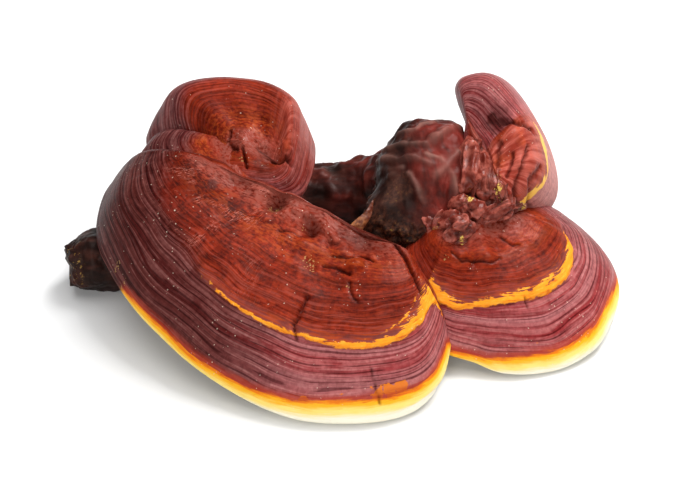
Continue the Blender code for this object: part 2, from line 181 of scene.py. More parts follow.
RIGHT_CAP = Cap(
    rays=360,
    rings=150,
    hub=((40, -4, 40), (68, 12, 38)),
    axis=(0.1, -0.2, 0.97),
    margin=(
        (0, 18, -14, 24, 0, 1.5), (20, 28, -32, 13, 0, 1.6), (38, 39, -37.5, 10, 1, 1.7),
        (56, 50, -39.5, 7.2, 2, 1.7), (74, 60, -42, 4.6, 3, 1.7), (92, 72, -42, 4.3, 3, 1.7),
        (112, 86, -38, 4.5, 3, 1.7), (134, 100, -27, 6, 3, 1.7), (154, 108, -12, 8, 3, 1.7),
        (174, 111, 4, 10, 3, 1.7), (194, 108, 19, 12, 3, 1.7), (215, 99, 32, 15, 3, 1.7),
        (240, 85, 41, 19, 3, 1.7), (270, 62, 46, 22, 1, 1.7), (305, 38, 34, 24, 0, 1.6),
        (335, 20, 10, 26, 0, 1.5),
    ),
    rim=((0, 6), (25, 4), (38, 2.8), (58, 3), (76, 4.2), (95, 5.4), (134, 6), (170, 7), (300, 7)),
    root=15,
    ring_span=46,
    zones=(
        (0, 0.95, 0, 3, 0.3, 0.1, 0.3, 0.3), (15, 0.92, 0, 5, 0.3, 0, 0.3, 0.3),
        (19, 0.68, 1, 8, 0.4, 0, 0.3, 0.3), (34, 0.68, 1, 5, 0.28, 0, 0.3, 0.3),
        (45, 0.7, 0.9, 2.6, 0.32, 0, 0.4, 0.3), (60, 0.66, 0.65, 2, 0.5, 0, 0.4, 0.3),
        (75, 0.63, 0.9, 2.8, 0.85, 0, 0.4, 0.3), (96, 0.61, 1, 3.6, 1, 0, 0.4, 0.3),
        (115, 0.61, 1, 4, 1, 0, 0.4, 0.3), (135, 0.6, 1, 4.6, 1, 0, 0.5, 0.3),
        (150, 0.58, 1, 4.2, 1, 0, 0.5, 0.3), (162, 0.54, 1, 3, 0.8, 0.1, 0.5, 0.3),
        (174, 0.46, 0.9, 1.6, 0.4, 0.2, 0.6, 0.3), (182, 0.45, 0.3, 0.8, 0, 0.3, 0.5, 0.3),
        (200, 0.45, 0.2, 0.8, 0, 0.4, 0.4, 0.3), (300, 0.5, 0, 1, 0, 0.6, 0.2, 0.3),
    ),
    ledge=1,
    lumps=(
        (38, -4, 9, 3), (50, 3, 8, 4), (60, 10, 7, 4), (76, 2, 8, 1.5), (46, -13, 2.6, 1.4),
        (51, -14, 2.2, -1.2), (56, -12, 2.6, 1.2), (60, -6, 3, -1),
    ),
    creases=(
        (0.4, 0.5, ((42, -12), (46, -15), (51, -13), (57, -14), (61, -11))),
        (0.5, 0.6, ((62, -2), (66, -5), (69, -4))), (0.4, 0.6, ((70, -24), (71, -27))),
    ),
    grits=((40, -14, 1.2), (61, 8, 1.5), (36, -30, 1.5)),
    flushes=(),
    seed=50,
)

BACK_LEFT_CAP = Cap(
    rays=340,
    rings=140,
    hub=((-40, 33, 58), (-26, 29, 52)),
    axis=(-0.15, 0, 0.98),
    margin=(
        (0, -79, 54, 34, -2, 3), (30, -62, 24, 42, -4, 3), (90, -34, 16, 44, 0, 3),
        (150, -20, 22, 40, 2, 3), (180, -14.5, 31, 38, 9, 3), (210, -11.5, 45, 41, 14, 3),
        (240, -13.5, 62, 43, 17, 3), (270, -31, 78, 44, 17, 3), (300, -55, 84, 43, 16, 3),
        (325, -77, 78, 40, 14, 3), (345, -83, 67, 38, 6, 3),
    ),
    rim=((0, 8),),
    root=14,
    ring_span=50,
    zones=(
        (0, 0.5, 0, 1, 0, 0.7, 1, 0.2), (60, 0.8, 0, 1, 0, 0.5, 0.8, 0.2),
        (150, 0.8, 0, 1, 0, -0.2, 0.8, 0.2), (200, 0.8, 0, 1, 0, -0.45, 1, 0.2),
        (232, 0.8, 0, 1, 0, -0.45, 1, 0.2), (262, 0.85, 0, 1, 0, 0.1, 1, 0.2),
        (300, 0.7, 0, 1, 0, 0.6, 0.9, 0.2),
    ),
    ledge=0,
    lumps=((-31, 24, 6, -2.5), (-39, 38, 5, 3.4), (-45, 33, 4, -1.2), (-61, 34, 9, -7)),
    creases=(
        (0.7, 2.2, ((-34, 32), (-29, 30), (-25, 27), (-21, 27))),
        (2.4, -1.2, ((-32, 35), (-27, 33), (-23, 30))), (0.6, 2, ((-40, 31), (-39, 28), (-38, 24))),
        (0.7, 1.2, ((-45, 40), (-46, 35), (-42, 31))),
    ),
    grits=((-40, 27, 1.2), (-48, 31, 1.5)),
    flushes=(),
    seed=70,
)

BACK_RIGHT_CAP = Cap(
    rays=300,
    rings=130,
    hub=((50, 41, 65), (61, 12, 56)),
    axis=(-0.1, -0.55, 0.82),
    margin=(
        (0, 47.5, 57, 60, 3, 2), (20, 50.5, 47, 55, 2, 2), (60, 48, 38, 46, 1, 2),
        (120, 56, 22, 38, 1, 2), (160, 62, 15, 33, 1, 2), (182, 70, 16, 30, 2, 2),
        (198, 82, 25, 28, 5, 2), (212, 88, 34, 32, 7, 2), (228, 87, 43, 42, 8, 2),
        (250, 80, 54, 55, 9, 2), (272, 71, 63, 64, 9, 2), (298, 61, 69, 68, 8, 2),
        (328, 50, 66.5, 68.5, 5, 2), (345, 46.3, 62.5, 65.5, 4, 2),
    ),
    rim=((0, 8),),
    root=13,
    ring_span=34,
    zones=(
        (0, 0, 0, 1, 0, 0.28, 0.3, 0), (100, 0.9, 0, 1, 0, -0.25, 0.4, 0.5),
        (166, 0.9, 0.3, 1.4, 0, -0.6, 0.6, 0.6), (176, 0.84, 1, 2.8, 0, -0.8, 0.8, 0.8),
        (186, 0.8, 1, 3.2, 0, -0.9, 0.8, 0.8), (198, 0.74, 1, 3.2, 0, -1, 0.9, 0.9),
        (215, 0.8, 0.75, 1.4, 0, -1, 0.9, 0.9), (236, 0.88, 1, 2.8, 0, -1, 0.8, 0.7),
        (250, 0.86, 0.1, 1, 0, -0.45, 0.6, 0.6), (262, 0, 0, 1, 0, 0.22, 0.4, 0.1),
    ),
    ledge=0.5,
    lumps=(
        (62, 33, 5, -3.5), (57, 36, 4, -1.5), (66, 27, 5, 2.2), (60, 22, 4, 1.5), (70, 17, 2.6, 1.6),
        (74, 21, 3, 1.4), (69, 23, 2, -1.2),
    ),
    creases=(
        (1.1, 1.4, ((59, 37), (64, 34), (69, 31), (75, 34))), (1, 0.9, ((62, 24), (61, 18), (60, 12))),
        (0.7, 1.3, ((67, 10), (70, 15), (72, 20), (73, 24))), (0.6, 1, ((64, 12), (66, 16), (67, 20))),
        (0.5, 0.7, ((73, 14), (76, 18), (78, 22))),
    ),
    grits=((61, 12, 2),),
    flushes=(),
    seed=90,
)

# The stalk's centre line and radius, from the broken butt to its end in the knob: rows of (x, y, z, radius).
STALK_LINE = (
    (-111, 12, 12, 8), (-105, 14, 11.6, 11.5), (-96, 17, 11.6, 12.8), (-78, 25, 11.2, 12.5),
    (-48, 41, 10.8, 12), (-20, 57, 11.4, 12.5), (0, 62, 12.6, 13.5), (16, 60, 16, 14.5), (27, 51, 26, 16),
    (33, 41, 36, 14),
)

# The knob is an egg: its two ends, and its radius across them. Bulges are rows of (x, y, z, radius, height),
# and ridges are (half width, height, points), each a line of (x, y, z) near its skin.
KNOB = ((30, 54, 52), (40, 2, 28), 21)
KNOB_BULGES = (
    (18, 10, 33, 11, 9), (27, -1, 33, 9, 5), (24, 14, 52, 6, -1.6), (29, 12, 55, 4, 1.2),
    (46, 20, 57, 9, 1.5), (36, 24, 62, 5, -1.8), (46, 43, 58, 8, 2.5), (14, 13, 35, 8, 6),
    (20, 44, 52, 8, -1.5), (44, 32, 62, 6, 1.5),
)
KNOB_RIDGES = (
    (1.4, 1.6, ((15, 34, 48), (18, 28, 54), (22, 23, 57), (29, 21, 60), (34, 17, 60))),
    (1.3, 1.2, ((14, 40, 48), (19, 32, 56), (26, 29, 61), (32, 27, 62))),
    (1.9, 2.2, ((33, 27, 63), (38, 30, 63), (42, 36, 62), (46, 42, 58))),
    (1.2, 1.4, ((18, 19, 52), (22, 18, 55), (27, 15, 55), (29, 11, 53), (32, 5, 49))),
    (1.5, 1.2, ((36, 12, 56), (41, 17, 58), (45, 24, 59))),
    (1.3, 1, ((33, 22, 60), (38, 20, 60), (43, 14, 56), (45, 8, 51))),
    (1.4, 1.1, ((22, 38, 60), (29, 36, 63), (36, 40, 62), (41, 48, 57))),
    (1.2, 0.9, ((17, 26, 50), (20, 22, 52), (24, 20, 55))),
)
DULL_PATCH = (22, 13, 51, 6.5)  # a dull patch on its near side: x, y, z, radius

# Crumpled growth: folds, each an egg: its two ends, its radius across them, and how much its creases are
# shortened along it, where a low value draws them out. Yellow bits stick to it in spots of (x, y, radius).
FOLDS = (
    ((53, 33, 61), (50, 8, 49), 6.4, 0.12), ((57, 27, 58), (57, 7, 49), 5.4, 0.12),
    ((61, 19, 56), (62, 6, 47), 4.6, 0.15), ((51, 9, 46), (47, 1, 44), 7, 0.4),
    ((50, 1, 41), (38, -6, 42), 7.2, 0.55), ((41, 8, 41), (33, -1, 38), 6.6, 0.4),
    ((52, 2, 43), (67, 11, 45), 5.2, 0.2), ((62, 8, 44), (72, 14, 41), 2.8, 0.2),
)
FOLD_BITS = ((50, 5, 2.4), (61, 8, 1.6), (36, -4, 1.5), (46, -9, 1.2), (71, 13, 2.2))

# The orange sliver that stands in the hole behind the front cap: its line, and its width at the foot.
SLIVER_LINE = ((3, -3, 37), (6, -1, 42), (10, 3, 45), (12, 8, 48))
SLIVER_WIDTH = 6.5

# The camera looks along +Y at this place in the model's frame, from this far and this high above the floor.
CAMERA_TARGET = (4.2, 1.3, 25)
CAMERA_DISTANCE = 661
CAMERA_ELEVATION = math.radians(38)
CAMERA_LENS = 85

# Softboxes: name, place and size in metres, and power.
SOFTBOXES = (
    ("key_softbox", (0.45, 0.45, 0.95), 0.6, 14.0),
    ("fill_softbox", (-0.1, -1.1, 0.55), 0.8, 6.2),
    ("top_softbox", (0.0, 0.1, 1.5), 1.6, 14.0),
)
LIT_PLACE = (0, 0, 0.03)
ROOM_LIGHT = 0.16
FLOOR_HALF_WIDTH = 4.0
FLOOR_HEIGHT = -0.0001


def tint(name, description, default):
    """A colour that the user can change."""
    return FloatVectorProperty(
        name=name, description=description, default=default, size=3, subtype="COLOR"
    )


class ReishiFinish(bpy.types.PropertyGroup):
    """Colours and surface sizes of the whole mushroom."""

    skin_red: tint("Skin red", "Lacquered inner skin", (0.34, 0.028, 0.008))
    skin_orange: tint("Skin orange", "Where the inner skin glows", (0.56, 0.10, 0.016))
    skin_dark: tint("Skin dark", "Darkest mottling", (0.110, 0.010, 0.005))
    plum: tint("Plum", "Dark rings of the new growth", (0.33, 0.034, 0.036))
    mauve: tint("Mauve", "Light rings of the new growth", (0.46, 0.150, 0.150))
    band_orange: tint("Band orange", "Old margin", (0.95, 0.32, 0.020))
    margin_yellow: tint("Margin yellow", "Growing margin", (0.98, 0.73, 0.19))
    margin_cream: tint("Margin cream", "Below the margin", (0.96, 0.91, 0.74))
    pore_tan: tint("Pore tan", "Pored underside", (0.55, 0.40, 0.24))
    stem_brown: tint("Stem brown", "Stem and knob", (0.013, 0.005, 0.004))
    rose: tint("Rose", "Crests of the crumpled growth", (0.41, 0.098, 0.068))
    gloss: FloatProperty(
        name="Lacquer roughness",
        description="Lower is shinier",
        default=0.38,
        min=0,
        max=1,
        subtype="FACTOR",
    )
    wrinkle_height: FloatProperty(
        name="Wrinkle height", description="Radial wrinkles of the caps", default=0.0004, unit="LENGTH"
    )
    roll_height: FloatProperty(
        name="Roll height", description="Rolls between the growth rings", default=0.00022, unit="LENGTH"
    )


def unit(vectors):
    """Vectors of length 1."""
    vectors = np.asarray(vectors, float)
    return vectors / np.maximum(np.linalg.norm(vectors, axis=-1, keepdims=True), 1e-9)


def smooth_step(low, high, value):
    """Rises smoothly from 0 at low to 1 at high."""
    share = np.clip((value - low) / (high - low), 0, 1)
    return share * share * (3 - 2 * share)


def hump(start, full, fall, end, value):
    """Rises from 0 at start to 1 at full, and falls from fall to 0 at end."""
    return smooth_step(start, full, value) * (1 - smooth_step(fall, end, value))


def along(knots, values, places):
    """A cubic through every knot, whose slope at a knot is that of the chord between its neighbours."""
    slopes = (values[2:] - values[:-2]) / (knots[2:] - knots[:-2])[:, None]
    first = np.clip(np.searchsorted(knots, places, side="right") - 1, 1, len(knots) - 3)
    width = (knots[first + 1] - knots[first])[:, None]
    t = (np.asarray(places) - knots[first])[:, None] / width
    return (
        values[first] * (1 + 2 * t) * (1 - t) ** 2
        + slopes[first - 1] * width * t * (1 - t) ** 2
        + values[first + 1] * t * t * (3 - 2 * t)
        + slopes[first] * width * t * t * (t - 1)
    )


def round_curve(rows, angles):
    """Values at the angles on a closed smooth curve through rows of (angle, value, ...)."""
    rows = np.array(rows, float)
    turn = np.zeros(rows.shape[1])
    turn[0] = 360
    rows = np.concatenate([rows[-1:] - turn, rows, rows[:2] + turn])
    return along(rows[:, 0], rows[:, 1:], angles)


def round_steps(rows, angles):
    """Values at the angles, straight between rows of (angle, value, ...) and round to the first row."""
    rows = np.array(rows, float)
    return np.stack([np.interp(angles, rows[:, 0], column, period=360) for column in rows.T[1:]], 1)


def open_curve(rows, count):
    """count rows at even steps on a smooth curve through the rows given."""
    rows = np.array(rows, float)
    rows = np.concatenate([[2 * rows[0] - rows[1]], rows, [2 * rows[-1] - rows[-2]]])
    knots = np.arange(len(rows), dtype=float)
    return along(knots, rows, np.linspace(1, len(rows) - 2, count))


CORNER_PRIMES = (73856093, 19349663, 83492791)
SEED_PRIME = 26544357
MIXING_PRIME = 1274126177
LOW_BITS = 0xFFFF


def lattice_value(corner, seed):
    """A repeatable value from -1 to 1 for each corner of a lattice of whole numbers."""
    mixed = (corner * np.array(CORNER_PRIMES)).sum(-1) + seed * SEED_PRIME
    mixed = (mixed ^ (mixed >> 13)) * MIXING_PRIME
    return ((mixed ^ (mixed >> 16)) & LOW_BITS) / LOW_BITS * 2 - 1


def lumpy(points, size, seed):
    """Smooth lumps from about -1 to 1: slopes at lattice corners a size apart, eased into each other."""
    scaled = np.asarray(points) / size
    base = np.floor(scaled).astype(np.int64)
    local = scaled - base
    ease = local**3 * (local * (local * 6 - 15) + 10)
    total = np.zeros(scaled.shape[:-1])
    for corner in np.ndindex(2, 2, 2):
        step = np.array(corner)
        weight = np.where(step, ease, 1 - ease).prod(-1)
        for k in range(3):
            slope = lattice_value(base + step, seed * 3 + k)
            total += weight * slope * (local[..., k] - step[k])
    return total * NOISE_GAIN


def rough(points, size, seed, octaves=4):
    """Lumps of several sizes: each octave is half as large and half as high as the one before."""
    return sum(lumpy(points, size / 2**k, seed + k) / 2**k for k in range(octaves))


def cap_skin(cap, angles, shares):
    """The cap's upper skin, a row of points for each share and a column for each ray.

    A ray runs straight from hub to margin as seen along the axis. Its height along the axis goes from the
    hub's to the margin's as the share to the power droop, and swell adds a hump that is flat at the hub.
    """
    start, end = np.array(cap.hub, float)
    axis = unit(cap.axis)
    turn = np.radians(angles)[:, None]
    across = unit(np.cross(end - start, axis))
    hub = start + (end - start) * (1 - np.cos(turn)) / 2 + across * HUB_HALF_WIDTH * np.sin(turn)
    rows = round_curve(cap.margin, angles)
    margin, swell, droop = rows[:, :3], rows[:, 3], rows[:, 4]
    share = np.asarray(shares, float)[:, None]
    flat_way = (margin - hub) - ((margin - hub) @ axis)[:, None] * axis
    height = ((margin - hub) @ axis) * share**droop + swell * HUMP_SCALE * share**2 * (1 - share)
    skin = hub + flat_way * share[:, :, None] + height[:, :, None] * axis
    for x, y, radius, lift in cap.lumps:
        skin = skin + (round_spots(skin, [(x, y, radius)]) * lift)[..., None] * axis
    return skin


def ray_angles(cap):
    """Ray angles that stand evenly along a ring most of the way out, and that ring's length."""
    fine = np.linspace(0, 360, 4 * 360 + 1)
    ring = cap_skin(cap, fine, [LATTICE_RING])[0]
    walked = np.concatenate([[0], np.cumsum(np.linalg.norm(np.diff(ring, axis=0), axis=1))])
    return np.interp(np.arange(cap.rays) / cap.rays * walked[-1], walked, fine), walked[-1]


def near_line(points, line):
    """How far each point is from a line of places; a line of (x, y) places is seen from above."""
    line = np.array(line, float)
    points = points[..., : line.shape[1]]
    nearest = np.full(points.shape[:-1], np.inf)
    for start, end in zip(line, line[1:]):
        way = end - start
        t = np.clip(((points - start) @ way) / (way @ way), 0, 1)
        nearest = np.minimum(nearest, np.linalg.norm(points - start - t[..., None] * way, axis=-1))
    return nearest


def round_spots(points, spots):
    """The strongest of several soft round spots at each point; a spot is (x, y, radius), seen from above."""
    strongest = np.zeros(points.shape[:-1])
    for x, y, radius in spots:
        squared = (points[..., 0] - x) ** 2 + (points[..., 1] - y) ** 2
        strongest = np.maximum(strongest, np.exp(-squared / radius**2))
    return strongest


def cap_relief(cap, skin, place, growth, band_mm, zones, finish):
    """Height of the skin's relief in millimetres, and two masks for painted shading: how high its rolls
    rise, for painted highlight on their tops and painted shade between, and how deep in hollows it lies.

    The relief adds up slow swells, rolls and fine rings that follow the growth, wrinkles that follow the
    rays, a crumpled hub, the step at the old margin and the creases.
    """

    def lumps(points, size, step):
        """Smooth lumps with a seed of this cap's own."""
        return lumpy(points, size, cap.seed + step)

    rolls_at = place * (0.015, 0.015, 1)
    streaks_at = place * (1, 1, 0.2)
    outside = smooth_step(-1, 2, band_mm)
    coarse = lumps(rolls_at, 5.2, 0)
    ring = 0.7 * lumps(rolls_at, 1.9, 1) + 0.7 * lumps(rolls_at, 1, 14)
    ring = ring * (0.6 + 0.6 * lumps(place * (1, 1, 0.3), 16, 15))
    ringed = smooth_step(0.15, 0.4, growth) * (1 - 0.7 * np.clip(-zones["dusk"], 0, 1) * outside)
    wrinkle = lumps(streaks_at, 3.4, 2) + 0.5 * lumps(streaks_at, 1.7, 3)
    wrinkle = wrinkle * smooth_step(-0.5, 0.5, lumps(place, 12, 10))
    wrinkle = wrinkle * hump(0.10, 0.3, 0.5, 0.9, growth) * zones["wrinkles"]
    crumple = rough(skin, 9, cap.seed + 4, 3)
    hub = 1 - smooth_step(0.08, 0.30, growth)
    on_skin = smooth_step(0, 0.03, growth) * (growth <= 1)
    height = 0.7 * lumps(place, 17, 5) + 0.45 * hub * crumple
    height += (finish.roll_height / MM * coarse + 0.06 * ring * (0.3 + 0.7 * outside)) * ringed
    height += finish.wrinkle_height / MM * wrinkle
    edge = band_mm + 0.9 * lumps(place, 5, 6)
    height += cap.ledge * 1.1 * (1 - smooth_step(-0.5, 0.7, edge)) * (0.25 + 0.75 * zones["orange"])
    # Painted shade mask: the troughs of the crumpled hub and of the wrinkles, the creases and the dents.
    hollow = hub * np.clip(-0.35 * crumple, 0, 1) + np.clip(-wrinkle, 0, 1) * 0.35
    for half_width, depth, line in cap.creases:
        ragged = near_line(skin, line) + 0.5 * half_width * lumps(skin, 1.6, 9)
        groove = np.exp(-((ragged / half_width) ** 2))
        height -= depth * groove
        hollow += groove * (depth > 0)
    for x, y, radius, lift in cap.lumps:
        hollow += np.clip(-lift / 4, 0, 1) * round_spots(skin, [(x, y, 0.85 * radius)])
    # How high the rolls rise: lighter colour on their tops, darker between, as painted highlight and shade.
    crest = np.clip(0.5 + 0.4 * coarse + 0.45 * ring, 0, 1)
    return height * on_skin, crest, np.clip(hollow, 0, 1)


def cap_surface(name, cap, finish):
    """The cap as a closed surface: out along the skin, round the margin, and back along the underside."""
    angles, length = ray_angles(cap)
    shares = np.linspace(0, 1, cap.rings)
    axis = unit(cap.axis)
    skin = cap_skin(cap, angles, shares)
    outward = unit(np.gradient(skin, axis=0))
    round_way = np.roll(skin, -1, axis=1) - np.roll(skin, 1, axis=1)
    steady = smooth_step(0.02, 0.2, shares)[:, None, None]
    normals = unit(unit(np.cross(outward, round_way)) * steady + axis * (1 - steady))

    rim = round_steps(cap.rim, angles)
    radius = rim / 2
    lean = np.arccos(np.clip(normals[-1] @ axis, -1, 1))[:, None]
    level = unit(outward[-1] - (outward[-1] @ axis)[:, None] * axis)
    centre = skin[-1] - normals[-1] * radius
    turns = [lean + (np.pi - lean) * step / RIM_RINGS for step in range(1, RIM_RINGS + 1)]
    edge = np.array([centre + radius * (level * np.sin(turn) + axis * np.cos(turn)) for turn in turns])

    under_shares = np.linspace(1, 0, UNDER_RINGS + 1)[1:]
    share = under_shares[:, None, None]
    depth = rim + (cap.root - rim) * (1 - share) ** 1.5
    near_rim = smooth_step(0.5, 1, share)
    under = cap_skin(cap, angles, under_shares)
    under = under + (edge[-1] - skin[-1]) * near_rim - axis * depth * (1 - near_rim)
    rings = np.concatenate([skin, edge, under])

    growth = np.concatenate([shares, np.linspace(1, 1.2, RIM_RINGS + 1)[1:], 1.2 + (1 - under_shares)])
    growth = np.repeat(growth[:, None], cap.rays, axis=1)
    walked = np.linalg.norm(np.diff(rings, axis=0), axis=2)
    walked = np.concatenate([np.zeros((1, cap.rays)), np.cumsum(walked, axis=0)])
    edge_mm = walked[cap.rings - 1] - walked
    zones = dict(zip(ZONE_NAMES, round_steps(cap.zones, angles).T))
    band_mm = (growth - zones.pop("old_share")) * walked[cap.rings - 1]
    turn = np.arange(cap.rays) / cap.rays * 2 * np.pi
    circle = length / (2 * np.pi) * np.array([np.cos(turn), np.sin(turn)])
    circle = np.broadcast_to(circle[:, None], (2, *walked.shape))
    place = np.stack([*circle, growth * cap.ring_span], -1)
    place[..., 2] += sum(much * lumpy(place * way, size, cap.seed + k) for much, size, k, way in RING_BENDS)
    height, crest, hollow = cap_relief(cap, rings, place, growth, band_mm, zones, finish)
    rings[: cap.rings] += normals * height[: cap.rings, :, None]
    fading = np.linspace(0.9, 0, RIM_RINGS)[:, None, None]
    rings[cap.rings : cap.rings + RIM_RINGS] += normals[-1] * height[cap.rings - 1, :, None] * fading
    zones = {key: np.broadcast_to(value, growth.shape) for key, value in zones.items()}
    zones.update(growth=growth, place=place, edge_mm=edge_mm, band_mm=band_mm, crest=crest, hollow=hollow)
    zones.update(grit=round_spots(rings, cap.grits), flush=round_spots(rings, cap.flushes))
    return closed_surface(name, rings, True, zones)


def closed_surface(name, rings, slit_ends, attributes):
    """A closed mesh over rings of equal count, with a value at each point for each attribute.

    A slit end is zipped from side to side, and any other end is a fan about its middle.
    """
    rings = np.array(rings)
    rings[..., 2] = np.maximum(rings[..., 2], 0)
    ring_count, count = rings.shape[:2]
    points = rings.reshape(-1, 3)
    here = np.arange(ring_count * count).reshape(ring_count, count)
    after = np.roll(here, -1, axis=1)
    quads = np.stack([here[:-1], here[1:], after[1:], after[:-1]], axis=-1).reshape(-1, 4)
    faces = quads.tolist()
    values = {key: np.asarray(value, float).reshape(len(points), -1) for key, value in attributes.items()}
    half = count // 2
    for row, forward in ((here[0], 1), (here[-1], -1)):
        if slit_ends:
            i = np.arange(1, half - 1)
            strip = np.stack([row[i], row[i + 1], row[count - i - 1], row[count - i]], axis=-1)
            ends = [row[[0, 1, -1]].tolist(), row[[half - 1, half, half + 1]].tolist()]
            faces += [face[::forward] for face in strip.tolist() + ends]
        else:
            middle = len(points)
            points = np.concatenate([points, points[row].mean(0)[None]])
            for key, value in values.items():
                values[key] = np.concatenate([value, value[row].mean(0)[None]])
            fan = np.stack([row, np.roll(row, -1), np.full(count, middle)], axis=-1)
            faces += [face[::forward] for face in fan.tolist()]
    mesh = bpy.data.meshes.new(name)
    mesh.from_pydata((points + CENTRE_SHIFT) * MM, [], faces)
    mesh.update()
    for key, value in values.items():
        kind, field = ("FLOAT", "value") if value.shape[1] == 1 else ("FLOAT_VECTOR", "vector")
        layer = mesh.attributes.new(key, kind, "POINT")
        layer.data.foreach_set(field, value.astype(np.float32).ravel())
    mesh.shade_smooth()
    obj = bpy.data.objects.new(name, mesh)
    bpy.context.scene.collection.objects.link(obj)
    return obj


def spokes(ahead, count):
    """count unit vectors in a circle square to each direction ahead."""
    side = unit(np.cross(ahead, (0, 0, 1)))[..., None, :]
    upward = np.cross(side, ahead[..., None, :])
    turns = np.arange(count)[:, None] * 2 * np.pi / count
    return side * np.cos(turns) + upward * np.sin(turns)


def drift(points, size, seed):
    """Vectors of three smooth lumps."""
    return np.stack([lumpy(points, size, seed + k) for k in range(3)], -1)


def stalk_surface(name):
    """The stalk: circles square to its line, with rounded bumps, and a ragged end where it broke off."""
    rows = open_curve(STALK_LINE, STALK_RINGS)
    line, radius = rows[:, :3], rows[:, 3]
    ahead = unit(np.gradient(line, axis=0))
    spoke = spokes(ahead, STALK_SIDES)
    skin = line[:, None] + spoke * radius[:, None, None]
    knobs = lumpy(skin, 9, 201)
    bumps = np.clip(lumpy(skin, 6.5, 202), -0.2, 1)
    from_butt = np.linalg.norm(line - line[0], axis=1)[:, None]
    torn = 1 - smooth_step(0, 6, from_butt)
    calm = smooth_step(10, 40, from_butt)
    lift = 1.3 * knobs + (0.6 + 1.2 * calm) * bumps + 0.25 * rough(skin, 3, 203, 3)
    lift = lift * (1 - torn) + torn * 1.2 * rough(skin, 4, 205, 3)
    skin = skin + spoke * lift[..., None]
    skin -= ahead[:, None] * (torn * 1.5 * lumpy(skin, 4, 206))[..., None]
    # Painted shade: darker in the dips between the knobs and bumps.
    hollow = np.clip(0.25 - 0.8 * knobs - 0.6 * bumps, 0, 1)
    none = 0 * hollow
    looks = {"hollow": hollow, "torn": torn + none, "velvet": none, "foot": none}
    looks.update(red=0.3 * calm * (1 + knobs), flow=skin * (0.4, 1, 1))
    return closed_surface(name, skin, False, looks)


def egg_points(start, end, radius, rows, count):
    """An egg's points and outward normals: a ball drawn out between its two ends.

    Rows run from pole to pole, and count points stand round each.
    """
    start, end = np.array(start, float), np.array(end, float)
    axis = unit(end - start)
    half = np.linalg.norm(end - start) / 2
    lean = ((np.arange(rows) + 0.5) * np.pi / rows)[:, None, None]
    out = np.sin(lean) * spokes(axis, count)
    ahead = -np.cos(lean) * axis
    return (start + end) / 2 + out * radius + ahead * half, unit(out / radius + ahead / half)


def ball_spot(points, place, radius):
    """A soft round spot in space: 1 at its place, and less and less around it."""
    return np.exp(-((points - place) ** 2).sum(-1) / radius**2)


def knob_surface(name):
    """The knob: an egg with the listed bulges and ridges, slow swellings, and fine ridges that flow.

    The flow is each point with its part along the egg's axis shrunk, bent by slow noise, so that a pattern
    on it is drawn out along the knob.
    """
    start, end, radius = KNOB
    points, normals = egg_points(start, end, radius, KNOB_RINGS, KNOB_SIDES)
    axis = unit(np.array(end, float) - start)
    lengthwise = (points @ axis)[..., None] * axis
    flow = points - 0.75 * lengthwise + 3.0 * drift(points, 16, 221)
    swell = lumpy(points, 13, 226)
    lift = 1.2 * swell + 0.5 * (1 - 2 * np.abs(lumpy(flow, 6, 225))) + 0.5 * rough(points, 7, 229, 3)
    for x, y, z, reach, height in KNOB_BULGES:
        lift += height * ball_spot(points, (x, y, z), reach)
    shape = points + normals * lift[..., None]
    patch = ball_spot(points, DULL_PATCH[:3], DULL_PATCH[3])
    patch = smooth_step(0.25, 0.6, patch + 0.25 * rough(points, 5, 232, 4))
    # Painted sheen: lighter on the ridges; the dull patch is paler and duller in its own right.
    velvet = 0.2 * patch
    for half_width, height, line in KNOB_RIDGES:
        away = near_line(shape, line) + 0.5 * half_width * lumpy(points, 4, 227)
        ridge = np.exp(-((away / half_width) ** 2))
        shape = shape + normals * (height * ridge)[..., None]
        velvet = np.maximum(velvet, 0.75 * ridge * (0.6 + 0.5 * lumpy(points, 9, 230)))
    foot = smooth_step(0, 8, 46 - shape[..., 2]) * smooth_step(-2, 10, 36 - shape[..., 0])
    foot = np.maximum(foot, smooth_step(0, 10, 38 - shape[..., 2]))
    crumbs = 1.4 * rough(points, 5, 228, 4) + 1.0 * rough(points, 2.4, 231, 3)
    shape = shape + normals * (foot * crumbs)[..., None]
    red = smooth_step(20, 38, shape[..., 0] + 5 * swell) * smooth_step(-8, 14, 46 - shape[..., 1])
    red = red * (1 - foot)
    # Painted shade: darker low on the knob and in the dips between its swellings.
    hollow = np.clip(0.25 * foot - 0.35 * swell, 0, 1)
    looks = {"hollow": hollow, "torn": 0 * red, "red": red, "velvet": velvet, "flow": flow}
    return closed_surface(name, shape, False, {**looks, "foot": np.maximum(foot, 0.6 * patch)})


def fold_surface(name, fold, seed):
    """A fold: an egg whose skin is crumpled into lobes, sharp creases and sharp ridges, drawn out along it.

    A crease is where slow noise passes through zero, and the lobes between rise with its size. A ridge is
    where a second noise passes through zero.
    """
    start, end, radius, shortened = fold
    points, normals = egg_points(start, end, radius, FOLD_RINGS, FOLD_SIDES)
    axis = unit(np.array(end, float) - start)
    flow = points - (1 - shortened) * (points @ axis)[..., None] * axis
    flow = flow + 4 * shortened * drift(points, 8, seed)
    lobes = np.minimum(1.9 * np.abs(lumpy(flow, 6.0, seed + 3)), 1) ** 0.8
    ridges = 1 - np.minimum(2.4 * np.abs(lumpy(flow, 4.2, seed + 4)), 1)
    small = 1 - np.minimum(2.4 * np.abs(lumpy(flow, 2.0, seed + 6)), 1)
    slow = lumpy(points, 1.3 * radius, seed + 5)
    lift = 1.7 * lobes + 1.3 * ridges + 0.4 * small + 0.16 * radius * slow - 1.6
    # Painted shade: darker in the creases between the lobes and beside the ridges.
    hollow = np.clip(0.9 * (1 - lobes) ** 2 + 0.5 * (1 - ridges) ** 2 - 0.3 * small - 0.2 * slow, 0, 1)
    skin = points + normals * lift[..., None]
    return closed_surface(name, skin, False, {"hollow": hollow, "grit": round_spots(skin, FOLD_BITS)})


